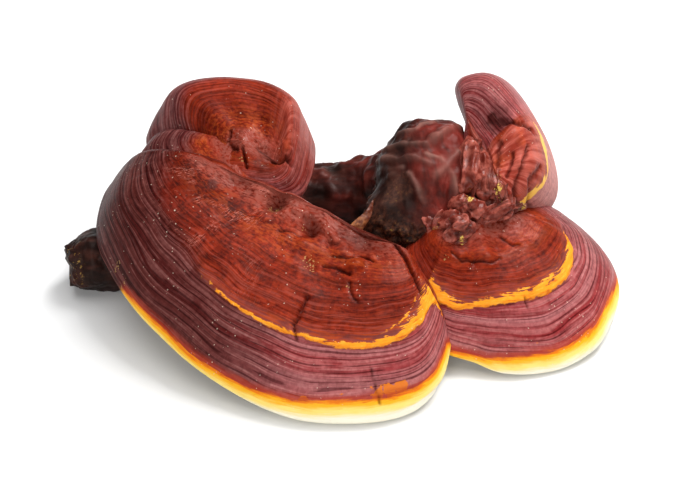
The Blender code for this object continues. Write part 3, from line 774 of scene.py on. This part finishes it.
def sliver_surface(name):
    """A thin torn blade: flat rings across its line that narrow towards its tip."""
    line = open_curve(SLIVER_LINE, SLIVER_RINGS)
    ahead = unit(np.gradient(line, axis=0))
    side = unit(np.cross(ahead, (0.2, -0.6, 0.7)))
    thick = np.cross(side, ahead)
    share = np.linspace(0, 1, SLIVER_RINGS)[:, None]
    half_width = SLIVER_WIDTH / 2 * (1 - share) ** 0.8 + 0.15
    turns = np.arange(SLIVER_SIDES) * 2 * np.pi / SLIVER_SIDES
    across = (half_width * np.cos(turns))[..., None] * side[:, None]
    skin = line[:, None] + across + (0.5 * np.sin(turns))[:, None] * thick[:, None]
    skin = skin + 0.4 * rough(skin, 3, 510, 3)[..., None] * thick[:, None]
    # Painted shade: darker towards the tip, further back in the hole.
    return closed_surface(name, skin, False, {"hollow": share * np.ones(skin.shape[:2])})


class Value:
    """A number, a colour or a vector in a shader tree: arithmetic with it adds nodes to the tree."""

    def __init__(self, tree, socket):
        self.tree = tree
        self.socket = socket

    def added(self, kind, *values, output=0, **settings):
        """An output of a new node in the same tree."""
        return Value(self.tree, add_node(self.tree, kind, *values, **settings).outputs[output])

    def math(self, operation, *values):
        """A Math node's result, with this value first."""
        return self.added("ShaderNodeMath", self, *values, operation=operation)

    def __rtruediv__(self, other):
        return self.added("ShaderNodeMath", other, self, operation="DIVIDE")

    __add__ = partialmethod(math, "ADD")
    __sub__ = partialmethod(math, "SUBTRACT")
    __mul__ = partialmethod(math, "MULTIPLY")
    __truediv__ = partialmethod(math, "DIVIDE")
    __lt__ = partialmethod(math, "LESS_THAN")
    __abs__ = partialmethod(math, "ABSOLUTE")
    larger = partialmethod(math, "MAXIMUM")

    def clamped(self):
        """The same value, kept from 0 to 1 by the Math node that it comes from."""
        self.socket.node.use_clamp = True
        return self

    def step(self, low, high, to_low=0.0, to_high=1.0):
        """Goes smoothly from to_low where the value is low to to_high where it is high."""
        ends = low, high, to_low, to_high
        return self.added("ShaderNodeMapRange", self, *ends, interpolation_type="SMOOTHSTEP")

    def between(self, low, high, blend="MIX"):
        """The colour low where this share is 0, and high blended over it where it is 1."""
        made = add_node(self.tree, "ShaderNodeMix", self, data_type="RGBA", blend_type=blend)
        for socket, value in zip(made.inputs[6:], (low, high)):  # the two colours of a mix of colours
            feed(self.tree, socket, value if isinstance(value, Value) else (*value[:3], 1))
        return Value(self.tree, made.outputs[2])

    def mixed(self, share, other):
        """This colour, with another in its place by a share."""
        return share.between(self, other)

    def dimmed(self, share, other):
        """This colour, multiplied by another by a share."""
        return share.between(self, other, "MULTIPLY")

    def stretch(self, x, y, z):
        """This vector, with its parts multiplied."""
        return self.added("ShaderNodeVectorMath", self, (x, y, z), operation="MULTIPLY")

    def noise(self, scale, detail, roughness, output="Fac"):
        """Noise at this place."""
        return self.added("ShaderNodeTexNoise", self, None, scale, detail, roughness, output=output)

    def cells(self, scale, output):
        """Scattered cells at this place: the Distance to the nearest middle, or that cell's random Color."""
        return self.added("ShaderNodeTexVoronoi", self, None, scale, output=output)


def feed(tree, socket, value):
    """Gives a socket a number, a colour, a vector or a Value; None leaves it as it is."""
    if isinstance(value, Value):
        tree.links.new(value.socket, socket)
    elif value is not None:
        socket.default_value = value


def add_node(tree, kind, *values, **settings):
    """A node with these settings, whose first inputs take the values, in order."""
    made = tree.nodes.new(kind)
    made.location = (len(tree.nodes) % 9 * 200, len(tree.nodes) // 9 * -220)
    for key, value in settings.items():
        setattr(made, key, value)
    for socket, value in zip(made.inputs, values):
        feed(tree, socket, value)
    return made


def attribute(tree, name, output="Fac"):
    """One of a piece's own attributes."""
    return Value(tree, add_node(tree, "ShaderNodeAttribute", attribute_name=name).outputs[output])


def object_mm(tree):
    """Object coordinates in millimetres."""
    return Value(tree, add_node(tree, "ShaderNodeTexCoord").outputs["Object"]).stretch(1000, 1000, 1000)


def new_group(name, inputs, outputs):
    """A shader node group with float or vector inputs and float outputs, and its inputs' values by name."""
    tree = bpy.data.node_groups.new(name, "ShaderNodeTree")
    for label, kind, default in inputs:
        socket = tree.interface.new_socket(label, in_out="INPUT", socket_type="NodeSocket" + kind)
        if kind == "Float":
            socket.default_value = default
    for label in outputs:
        tree.interface.new_socket(label, in_out="OUTPUT", socket_type="NodeSocketFloat")
    return tree, {socket.name: Value(tree, socket) for socket in add_node(tree, "NodeGroupInput").outputs}


def fill_group(tree, **values):
    """Feeds a node group's outputs."""
    sink = add_node(tree, "NodeGroupOutput")
    for name, value in values.items():
        feed(tree, sink.inputs[name], value)


def placed_group(tree, group, **values):
    """Places a node group in a tree and gives its outputs by name; an underscore stands for a space."""
    made = add_node(tree, "ShaderNodeGroup", node_tree=group)
    for key, value in values.items():
        feed(tree, made.inputs[key.replace("_", " ")], value)
    return {socket.name: Value(tree, socket) for socket in made.outputs}


def ring_group():
    """Growth rings: noise squeezed out from the hub and drawn out round the cap, so that it makes rings.

    Place is (round the cap, round the cap, out from the hub) in millimetres, and Spacing is about one ring.
    Line marks dark rings, Crest pale ones, Zone broad ones, and Streak is fine grain drawn out along them.
    Wave is for the bump. The thinnest rings are the troughs and peaks of a sine of the way out, bent by slow
    noise, and fade here and there.
    """
    inputs = ("Place", "Vector", None), ("Spacing", "Float", 2.0)
    tree, source = new_group("growth_rings", inputs, ("Wave", "Line", "Crest", "Zone", "Streak"))
    place, spacing = source["Place"], source["Spacing"]
    squeezed = place.stretch(0.014, 0.014, 1)
    rings = squeezed.noise(1.5 / spacing, 1, 0.5)
    fine = squeezed.noise(3.2 / spacing, 1, 0.5)
    slow = squeezed.noise(0.42 / spacing, 2, 0.6)
    turns = slow * 3 + place.added("ShaderNodeSeparateXYZ", place, output="Z") / spacing
    wave = (turns * (2 * math.pi)).math("SINE")
    faded = place.stretch(0.06, 0.06, 0.9).noise(1, 2, 0.6)
    fade = place.stretch(0.1, 0.1, 0.25).noise(1, 3, 0.6)
    dark = wave.step(-0.45, -0.92) * faded.step(0.38, 0.54)
    bright = wave.step(0.45, 0.95) * faded.step(0.58, 0.42)
    line = rings.step(0.47, 0.39, 0, 0.5).larger(fine.step(0.44, 0.36, 0, 0.4))
    crest = rings.step(0.53, 0.61, 0, 0.6).larger(fine.step(0.56, 0.64, 0, 0.5))
    fill_group(
        tree,
        Wave=dark * -0.5 + rings,
        Line=(line * fade.step(0.36, 0.56, 0.15, 1)).larger(dark),
        Crest=(crest * fade.step(0.62, 0.42, 0.15, 1)).larger(bright),
        Zone=slow.step(0.34, 0.68),
        Streak=place.stretch(0.22, 0.22, 1).noise(1.2, 4, 0.6),
    )
    return tree


def speck_group():
    """Scattered specks: cells of which a few, picked by their random colour, show a small ragged dot."""
    inputs = ("Place", "Vector", None), ("Cell Size", "Float", 3.0), ("Share", "Float", 0.2)
    tree, source = new_group("specks", inputs, ("Speck",))
    place, scale = source["Place"], 1 / source["Cell Size"]
    shift = place.noise(1.4, 2, 0.6, "Color").stretch(1.2, 1.2, 1.2)
    ragged = place.added("ShaderNodeVectorMath", place, shift, operation="ADD")
    near = ragged.cells(scale, "Distance").step(0.06, 0.15, 1, 0)
    patchy = place.noise(0.07, 2, 0.5).step(0.42, 0.62, 0.3, 1.8)
    fill_group(tree, Speck=near * (ragged.cells(scale, "Color") < source["Share"] * patchy))
    return tree


def new_material(name):
    """A material, its shader tree and its Principled shader."""
    material = bpy.data.materials.new(name)
    material.use_nodes = True
    return material, material.node_tree, material.node_tree.nodes["Principled BSDF"]


def finish_shader(shader, base, roughness, height, strength, distance, others):
    """Feeds the shader its colour, its roughness, a bump (distance in millimetres) and other sockets."""
    bump = add_node(base.tree, "ShaderNodeBump", strength, distance * MM)
    feed(base.tree, bump.inputs["Height"], height)
    values = {
        "Base Color": base,
        "Roughness": roughness,
        "Normal": Value(base.tree, bump.outputs["Normal"]),
        "Specular Tint": SPECULAR_TINT,
        **others,
    }
    for name, value in values.items():
        feed(base.tree, shader.inputs[name], value)


def inner_skin(finish, place, lane, growth, ember, dusk, wrinkles, ringed, mottle, blotch):
    """Deep red skin with dark and light rings, orange where it glows, dust and a painted sheen on the hub,
    painted pinkish glints, and painted shade on the side away from the light.

    On the lit side, where the shading value is below 0, the skin is rosy instead: its own rose colour with
    painted highlights and painted shade in pleats along the rays.
    """
    zone, streak = ringed["Zone"], ringed["Streak"]
    mottled = (mottle - 0.5) * wrinkles.step(0.3, 0.9, 0.5, 1) + 0.5
    skin = mottled.step(0.42, 0.56).between(finish.skin_dark, finish.skin_red)
    glow_zone = growth.step(0.10, 0.18) * growth.step(0.26, 0.42, 1, 0.2)
    glow = (streak * 0.6 + (zone * 0.12 + blotch * 0.35)).step(0.48, 0.64) * (glow_zone * ember)
    skin = skin.mixed(glow * 0.6, finish.skin_orange)
    skin = skin.dimmed(zone * growth.step(0.10, 0.40, 0.4, 0.85), (0.46, 0.36, 0.38))
    skin = skin.dimmed(ringed["Line"] * growth.step(0.15, 0.5, 0.25, 0.65), (0.30, 0.22, 0.22))
    skin = skin.mixed(ringed["Crest"] * growth.step(0.2, 0.7, 0.05, 0.42), (0.42, 0.090, 0.065))
    # Painted shade: the inner skin darker on the side away from the light.
    deep = dusk.step(0.88, 1) * growth.step(0.08, 0.24)
    skin = skin.dimmed(deep * 0.9, (0.46, 0.33, 0.27))
    # Dusty pink on the hub and crest: partly dust and fibres, partly a painted sheen.
    dust_and_sheen = growth.step(0.05, 0.22, 0.85, 0) * streak.step(0.36, 0.58)
    skin = skin.mixed(dust_and_sheen, (0.30, 0.080, 0.058))
    # Painted glints: short pinkish highlights along the rays where the skin is wrinkled.
    painted_glint = abs(lane.stretch(0.9, 0.9, 0.22).noise(1, 2, 0.5) - 0.5).step(0.034, 0.012)
    patch = place.noise(0.13, 2, 0.5).step(0.5, 0.62) * wrinkles.step(0.45, 0.85)
    skin = skin.mixed(painted_glint * (patch * 0.6), (0.60, 0.19, 0.14))
    # The lit side's rose skin: its own colour, with painted highlights and painted shade in pleats along the
    # rays.
    pleat_shading = lane.stretch(0.35, 0.35, 0.05).noise(1, 3, 0.6)
    rosy = pleat_shading.step(0.40, 0.64).between((0.28, 0.034, 0.020), (0.54, 0.120, 0.085))
    rosy = rosy.mixed(blotch.step(0.50, 0.66, 0, 0.5), (0.60, 0.10, 0.035))
    return skin.mixed((dusk * -1.3).clamped(), rosy)


def new_growth(finish, dusk, crest, ringed, streak, grain):
    """Crimson and mauve rings, lighter on the tops of the rolls and darker between as painted highlight and
    shade. On the side away from the light painted shade, with some darker tone of their own, darkens them;
    on the lit side they turn red and then pale pink, their own rosier tone with painted light.
    """
    tone = (ringed["Streak"] - 0.5) * 0.6 + ringed["Zone"]
    # Lighter on the tops of the rolls and darker between them: painted highlight and shade.
    tone = ((crest - 0.5) * 0.6 + tone).clamped()
    warm = tone.between((0.36, 0.034, 0.018), (0.48, 0.105, 0.070))
    # On the lit side, below 0, the rings turn red and then pale pink: their own rosier tone with painted
    # light.
    skin = tone.between(finish.plum, finish.mauve).mixed((dusk * -2).clamped(), warm)
    skin = skin.mixed((dusk * -2 - 1).clamped() * 0.85, (0.60, 0.26, 0.23))
    # Painted shade: nearly black rings on the side away from the light, above 0.
    dark = (dusk * 0.95).clamped()
    skin = skin.mixed(dark, tone.between((0.045, 0.005, 0.004), (0.090, 0.018, 0.013)))
    # Pale rings: partly the skin's own paler rings, partly a painted sheen along their ridges.
    pale = dark.between((0.70, 0.30, 0.28), (0.19, 0.062, 0.054))
    skin = skin.mixed(ringed["Crest"] * dusk.step(0, 0.6, 0.38, 0.75), pale)
    skin = skin.dimmed(dusk.step(-0.6, -0.1, 0.35, 0.9) * ringed["Line"], (0.32, 0.22, 0.24))
    skin = skin.dimmed(streak.step(0.48, 0.34, 0, 0.25), (0.5, 0.4, 0.4))
    return skin.dimmed(grain.step(0.60, 0.38, 0, 0.4), (0.45, 0.32, 0.32))


def old_margin(finish, skin, band, orange, width, dusk, jag, rags, strand):
    """The old margin: a ragged orange band, with mauve and red inside it, and a second where orange > 1."""
    ragged = rags * 3.2 + (band - 1.6)
    rough_by = (strand - 0.5) * 1.6 + (jag - 0.5)
    inward = rough_by * (width * 1.2) + (ragged + width)
    second = width * 1.8 + (strand * 2 + ragged) - 1
    second = second.step(-0.5, -0.1) * second.step(0.7, 0.3)
    second = second * (orange.step(1.05, 1.25) * jag.step(0.44, 0.5))
    shown = (jag * 0.8 + orange).step(0.75, 0.85)
    banded = (inward.step(-0.2, 0.4) * ragged.step(0.5, 0)).larger(second) * shown
    halo = inward.step(-6, 0) * ragged.step(1.2, 0) * orange * 0.65
    skin = skin.mixed(halo, strand.step(0.44, 0.60).between((0.21, 0.058, 0.050), (0.45, 0.07, 0.02)))
    tinge = strand * 0.40 + (rags * 0.35 + jag * 0.25)
    band_colour = tinge.step(0.38, 0.49).between((0.72, 0.15, 0.015), finish.band_orange)
    band_colour = band_colour.mixed(tinge.step(0.52, 0.60), (0.96, 0.42, 0.05))
    band_colour = band_colour.mixed((dusk * -0.8).clamped(), (0.90, 0.56, 0.10))
    return skin.mixed(banded, band_colour)


def growing_margin(finish, skin, edge, pale, flush, lane, rags, strand):
    """The rim: from the skin through dark red and orange to yellow and cream; dull brown where not pale."""
    rim = rags * 2 + (edge - 1) + (pale * -7 + 7)
    rim = (strand - 0.5) * 3 + rim
    patches = flush * 0.32 + lane.stretch(0.3, 0.3, 0.7).noise(1, 4, 0.65) * 0.9
    patches = patches.step(0.63, 0.66) * rim.step(11, 10.4)
    bright = skin.mixed(patches * 0.9, (0.78, 0.20, 0.015))
    bands = (
        (9, 5.8, 0.8, (0.42, 0.042, 0.018)),
        (6, 5, 1, (0.82, 0.20, 0.012)),
        (5, 3.9, 1, (0.95, 0.46, 0.020)),
        (3.8, 1.6, 1, finish.margin_yellow),
        (1.6, -2.2, 1, finish.margin_cream),
    )
    for start, full, most, tone in bands:
        bright = bright.mixed(rim.step(start, full, 0, most), tone)
    dull = skin.mixed(edge.step(-1, -5), (0.12, 0.05, 0.03))
    return dull.mixed(pale.step(0.08, 0.25), bright)


def cap_material(finish, rings, specks):
    """The caps' skin: mottled red hub, ringed plum growth, orange old margin, and a yellow to cream rim."""
    material, tree, shader = new_material("cap_skin")
    names = "growth edge_mm band_mm orange band_width pale dusk ember crest hollow grit flush wrinkles"
    growth, edge, band, orange, width, pale, dusk, ember, crest, hollow, grit, flush, wrinkles = [
        attribute(tree, name) for name in names.split()
    ]
    place = object_mm(tree)
    lane = attribute(tree, "place", "Vector")
    ringed = placed_group(tree, rings, Place=lane, Spacing=RING_SPACING)
    blotch = place.noise(0.12, 3, 0.6)
    streak = lane.stretch(0.8, 0.8, 0.3).noise(1, 4, 0.6)
    grain = place.noise(0.5, 4, 0.6)
    jag = place.noise(0.30, 4, 0.62)
    rags = lane.stretch(0.25, 0.25, 0.9).noise(0.7, 4, 0.7)
    strand = lane.stretch(0.06, 0.06, 1).noise(1.8, 2, 0.6)
    mottle = grain * 0.30 + (streak * 0.10 + (ringed["Streak"] * 0.30 + blotch * 0.3))

    inner = inner_skin(finish, place, lane, growth, ember, dusk, wrinkles, ringed, mottle, blotch)
    newer = new_growth(finish, dusk, crest, ringed, streak, grain)
    soft = orange.step(0, 0.6, 6, 1)
    ragged = soft * (mottle - 0.5) * 4 + ((jag - 0.5) * 4 + band)
    outside = (ragged / soft).step(-1.2, 0.8)
    skin = inner.mixed(outside, newer)
    skin = old_margin(finish, skin, band, orange, width, dusk, jag, rags, strand)
    skin = growing_margin(finish, skin, edge, pale, flush, lane, rags, strand)
    skin = skin.mixed(edge.step(-9, -16), finish.pore_tan)
    speck = placed_group(tree, specks, Place=place, Cell_Size=CAP_SPECK_CELL, Share=0.34)["Speck"]
    skin = skin.mixed(speck * 0.75, (0.80, 0.64, 0.50))
    # Painted shade: darker in the crumpled troughs of the hub, the wrinkles, the creases and the dents.
    skin = skin.dimmed(hollow * 0.85, (0.20, 0.10, 0.08))
    skin = skin.dimmed(grit * 0.4, (0.6, 0.48, 0.40))
    grains = place.cells(CAP_SPECK_CELL, "Color") < grit.step(0.1, 0.9, 0, 0.33)
    skin = skin.mixed(grains * 0.6, (0.52, 0.29, 0.10))

    gloss = outside * 0.08 + (grain * 0.25 + (finish.gloss - 0.16))
    gloss = (edge.step(0.5, -3) * 0.2 + gloss).clamped()
    height = ringed["Wave"] * outside * 0.5 + place.noise(1.6, 3, 0.6) * 0.35
    coat = {"Coat Weight": mottle.step(0.50, 0.64, 0, 0.12), "Coat Roughness": 0.12}
    finish_shader(shader, skin, gloss, mottle * 0.9 + height, 0.6, 0.4, {"Specular IOR Level": 0.06, **coat})
    return material


def stem_material(finish, specks):
    """Stalk and knob: near-black brown lacquer that turns deep red, velvety ridges and an earthy foot.

    The ridges are painted lighter as a sheen, and painted shade darkens the dips between the bumps.
    """
    material, tree, shader = new_material("stem_lacquer")
    names = "hollow torn red velvet foot"
    hollow, torn, red, velvet, foot = [attribute(tree, name) for name in names.split()]
    place = object_mm(tree)
    grain = place.noise(0.35, 4, 0.6)
    streak = attribute(tree, "flow", "Vector").noise(0.22, 4, 0.55)
    bits = place.noise(0.55, 4, 0.7)
    base = streak.step(0.42, 0.68).between(finish.stem_brown, (0.052, 0.016, 0.011))
    base = base.mixed(red * streak.step(0.3, 0.6, 0.35, 1), (0.16, 0.016, 0.011))
    base = base.mixed(red * streak.step(0.54, 0.72, 0, 0.6), (0.27, 0.062, 0.048))
    # Painted sheen on the ridges, and the dull patch's own paler colour.
    base = base.mixed(velvet * 0.8, (0.34, 0.175, 0.14))
    earthy = bits.step(0.42, 0.60).between((0.012, 0.005, 0.003), (0.105, 0.034, 0.018))
    base = base.mixed(foot * 0.8, earthy)
    # Painted shade: nearly black in the dips between the bumps and low on the knob.
    base = base.mixed(hollow * 0.7, (0.010, 0.005, 0.004))
    base = base.mixed(foot * bits.step(0.62, 0.68) * 0.6, (0.26, 0.16, 0.03))
    speck = placed_group(tree, specks, Place=place, Cell_Size=STEM_SPECK_CELL, Share=0.08)["Speck"]
    base = base.mixed(speck * 0.5, (0.55, 0.38, 0.12))
    base = base.mixed(torn * bits.step(0.58, 0.66), (0.50, 0.29, 0.07))
    gloss = grain * 0.2 + (velvet * 0.3 + (finish.gloss - 0.02))
    gloss = (torn.larger(foot) * 0.06 + gloss).clamped()
    height = place.noise(1.2, 3, 0.6) * 0.4 + streak
    others = {"Specular IOR Level": 0.09, "Coat Weight": 0.05, "Coat Roughness": 0.3}
    finish_shader(shader, base, gloss, height, 0.5, 0.5, others)
    return material


def crumple_material(finish):
    """The crumpled growth: rose-brown lacquer on the crests, yellow in places.

    Painted shade makes it nearly black in the folds.
    """
    material, tree, shader = new_material("crumpled_skin")
    place = object_mm(tree)
    grain = place.noise(0.3, 4, 0.6)
    base = grain.step(0.38, 0.66).between((0.16, 0.020, 0.012), finish.rose)
    # Painted shade: nearly black in the folds.
    base = base.mixed(attribute(tree, "hollow") * 0.8, (0.040, 0.006, 0.004))
    bits = attribute(tree, "grit") * 0.26 + place.noise(0.9, 4, 0.75)
    base = base.mixed(bits.step(0.69, 0.73), (0.70, 0.46, 0.09))
    gloss = (grain * 0.25 + (finish.gloss - 0.14)).clamped()
    others = {"Specular IOR Level": 0.12, "Coat Weight": 0.2, "Coat Roughness": 0.2}
    finish_shader(shader, base, gloss, place.noise(1, 4, 0.6), 0.5, 0.4, others)
    return material


def sliver_material():
    """The sliver: orange-brown, with painted shade darkening it towards its tip, further back in the hole.
    """
    material, tree, shader = new_material("sliver_skin")
    grain = object_mm(tree).stretch(1, 1, 0.4).noise(0.8, 4, 0.6)
    base = grain.step(0.35, 0.65).between((0.10, 0.020, 0.008), (0.40, 0.13, 0.030))
    base = base.mixed(attribute(tree, "hollow").step(0.25, 0.7, 0, 0.85), (0.09, 0.012, 0.006))
    finish_shader(shader, base, grain.step(0.3, 0.7, 0.3, 0.5), grain, 0.4, 0.4, {})
    return material


MATERIALS = {}


def shared_materials(finish):
    """The mushroom's materials, built the first time that a piece asks for them."""
    if not MATERIALS:
        rings, specks = ring_group(), speck_group()
        MATERIALS["cap"] = cap_material(finish, rings, specks)
        MATERIALS["stem"] = stem_material(finish, specks)
        MATERIALS["crumple"] = crumple_material(finish)
        MATERIALS["sliver"] = sliver_material()
    return MATERIALS


def settle(piece, material, slot, *nodes):
    """Gives a piece its material, makes it ride, and hides the solids that it stands for; slot is not used.
    """
    piece.data.materials.append(material)
    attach(piece, "root")
    if nodes:
        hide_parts(*nodes)


def add_cap(finish, name, cap, *nodes):
    """Adds a cap's skin in place of the solids named."""
    settle(cap_surface(name, cap, finish), shared_materials(finish)["cap"], "cap", *nodes)


class REISHI_OT_front_cap(bpy.types.Operator):
    """Adds the large front cap and the small lobe that grew at its left end"""

    bl_idname = "reishi.front_cap"
    bl_label = "Add Front Cap"

    def execute(self, context):
        add_cap(context.scene.reishi, "front_cap_skin", FRONT_CAP, "front_cap")
        add_cap(context.scene.reishi, "side_lobe_skin", SIDE_LOBE)
        return {"FINISHED"}


class REISHI_OT_right_cap(bpy.types.Operator):
    """Adds the right cap"""

    bl_idname = "reishi.right_cap"
    bl_label = "Add Right Cap"

    def execute(self, context):
        add_cap(context.scene.reishi, "right_cap_skin", RIGHT_CAP, "right_cap")
        return {"FINISHED"}


class REISHI_OT_back_caps(bpy.types.Operator):
    """Adds the two caps that stand up behind"""

    bl_idname = "reishi.back_caps"
    bl_label = "Add Back Caps"

    def execute(self, context):
        add_cap(context.scene.reishi, "back_left_cap_skin", BACK_LEFT_CAP, "back_left_cap")
        add_cap(context.scene.reishi, "back_right_cap_skin", BACK_RIGHT_CAP, "back_right_cap")
        return {"FINISHED"}


class REISHI_OT_stem(bpy.types.Operator):
    """Adds the knobbly stalk and the swollen knob at its end"""

    bl_idname = "reishi.stem"
    bl_label = "Add Stem"

    def execute(self, context):
        lacquer = shared_materials(context.scene.reishi)["stem"]
        settle(stalk_surface("stalk"), lacquer, "stem", "stem")
        settle(knob_surface("knob"), lacquer, "stem")
        return {"FINISHED"}


class REISHI_OT_crumpled_growth(bpy.types.Operator):
    """Adds the crumpled growth between the knob and the caps, and the sliver in the hole beside it"""

    bl_idname = "reishi.crumpled_growth"
    bl_label = "Add Crumpled Growth"

    def execute(self, context):
        materials = shared_materials(context.scene.reishi)
        for number, fold in enumerate(FOLDS):
            piece = fold_surface(f"fold_{number + 1}", fold, 300 + 10 * number)
            settle(piece, materials["crumple"], "cap")
        settle(sliver_surface("sliver"), materials["sliver"], "cap")
        return {"FINISHED"}


class REISHI_OT_stage(bpy.types.Operator):
    """Adds the floor, the soft lights and the camera"""

    bl_idname = "reishi.stage"
    bl_label = "Add Stage"

    def execute(self, context):
        scene = context.scene
        add_floor(scene)
        for softbox in SOFTBOXES:
            add_light(scene, *softbox)
        world = bpy.data.worlds.new("studio")
        world.use_nodes = True
        backdrop = world.node_tree.nodes["Background"]
        backdrop.inputs["Color"].default_value = (1, 1, 1, 1)
        backdrop.inputs["Strength"].default_value = ROOM_LIGHT
        scene.world = world
        scene.view_settings.view_transform = "Standard"
        add_camera(scene)
        return {"FINISHED"}


def add_floor(scene):
    """A broad pale floor, just under what lies on it."""
    half = FLOOR_HALF_WIDTH
    corners = [(x, y, FLOOR_HEIGHT) for x, y in ((-half, -half), (half, -half), (half, half), (-half, half))]
    mesh = bpy.data.meshes.new("floor")
    mesh.from_pydata(corners, [], [(0, 1, 2, 3)])
    floor = bpy.data.objects.new("floor", mesh)
    scene.collection.objects.link(floor)
    material, tree, shader = new_material("floor_paper")
    paper = {"Base Color": (0.86, 0.86, 0.86, 1), "Roughness": 0.9, "Specular IOR Level": 0.1}
    for label, value in paper.items():
        feed(tree, shader.inputs[label], value)
    mesh.materials.append(material)


def add_light(scene, name, place, size, power):
    """A square softbox that faces the mushroom."""
    light = bpy.data.lights.new(name, "AREA")
    light.size = size
    light.energy = power
    lamp = bpy.data.objects.new(name, light)
    lamp.location = place
    lamp.rotation_mode = "QUATERNION"
    lamp.rotation_quaternion = (Vector(LIT_PLACE) - Vector(place)).to_track_quat("-Z", "Y")
    scene.collection.objects.link(lamp)


def add_camera(scene):
    """The camera at the photograph's angle."""
    camera = bpy.data.cameras.new("camera")
    camera.lens = CAMERA_LENS
    camera.sensor_width = 36
    camera.clip_start = 0.01
    eye = bpy.data.objects.new("camera", camera)
    back = Vector((0, -math.cos(CAMERA_ELEVATION), math.sin(CAMERA_ELEVATION)))
    eye.location = (Vector(CAMERA_TARGET) + back * CAMERA_DISTANCE) * MM
    eye.rotation_mode = "QUATERNION"
    eye.rotation_quaternion = (-back).to_track_quat("-Z", "Y")
    scene.collection.objects.link(eye)
    scene.camera = eye


STEPS = (
    REISHI_OT_stem,
    REISHI_OT_front_cap,
    REISHI_OT_right_cap,
    REISHI_OT_back_caps,
    REISHI_OT_crumpled_growth,
    REISHI_OT_stage,
)


class REISHI_PT_panel(bpy.types.Panel):
    """Lists the finish and a button for each piece"""

    bl_idname = "REISHI_PT_panel"
    bl_label = "Reishi Mushroom"
    bl_space_type = "VIEW_3D"
    bl_region_type = "UI"
    bl_category = "Reishi"

    def draw(self, context):
        for name in ReishiFinish.__annotations__:
            self.layout.prop(context.scene.reishi, name)
        for step in STEPS:
            self.layout.operator(step.bl_idname)


CLASSES = (ReishiFinish, *STEPS, REISHI_PT_panel)


def register():
    for kind in CLASSES:
        bpy.utils.register_class(kind)
    bpy.types.Scene.reishi = PointerProperty(type=ReishiFinish)


def unregister():
    del bpy.types.Scene.reishi
    for kind in reversed(CLASSES):
        bpy.utils.unregister_class(kind)


def main():
    register()
    bpy.ops.reishi.stem()
    bpy.ops.reishi.front_cap()
    bpy.ops.reishi.right_cap()
    bpy.ops.reishi.back_caps()
    bpy.ops.reishi.crumpled_growth()
    bpy.ops.reishi.stage()


if __name__ == "__main__":
    main()
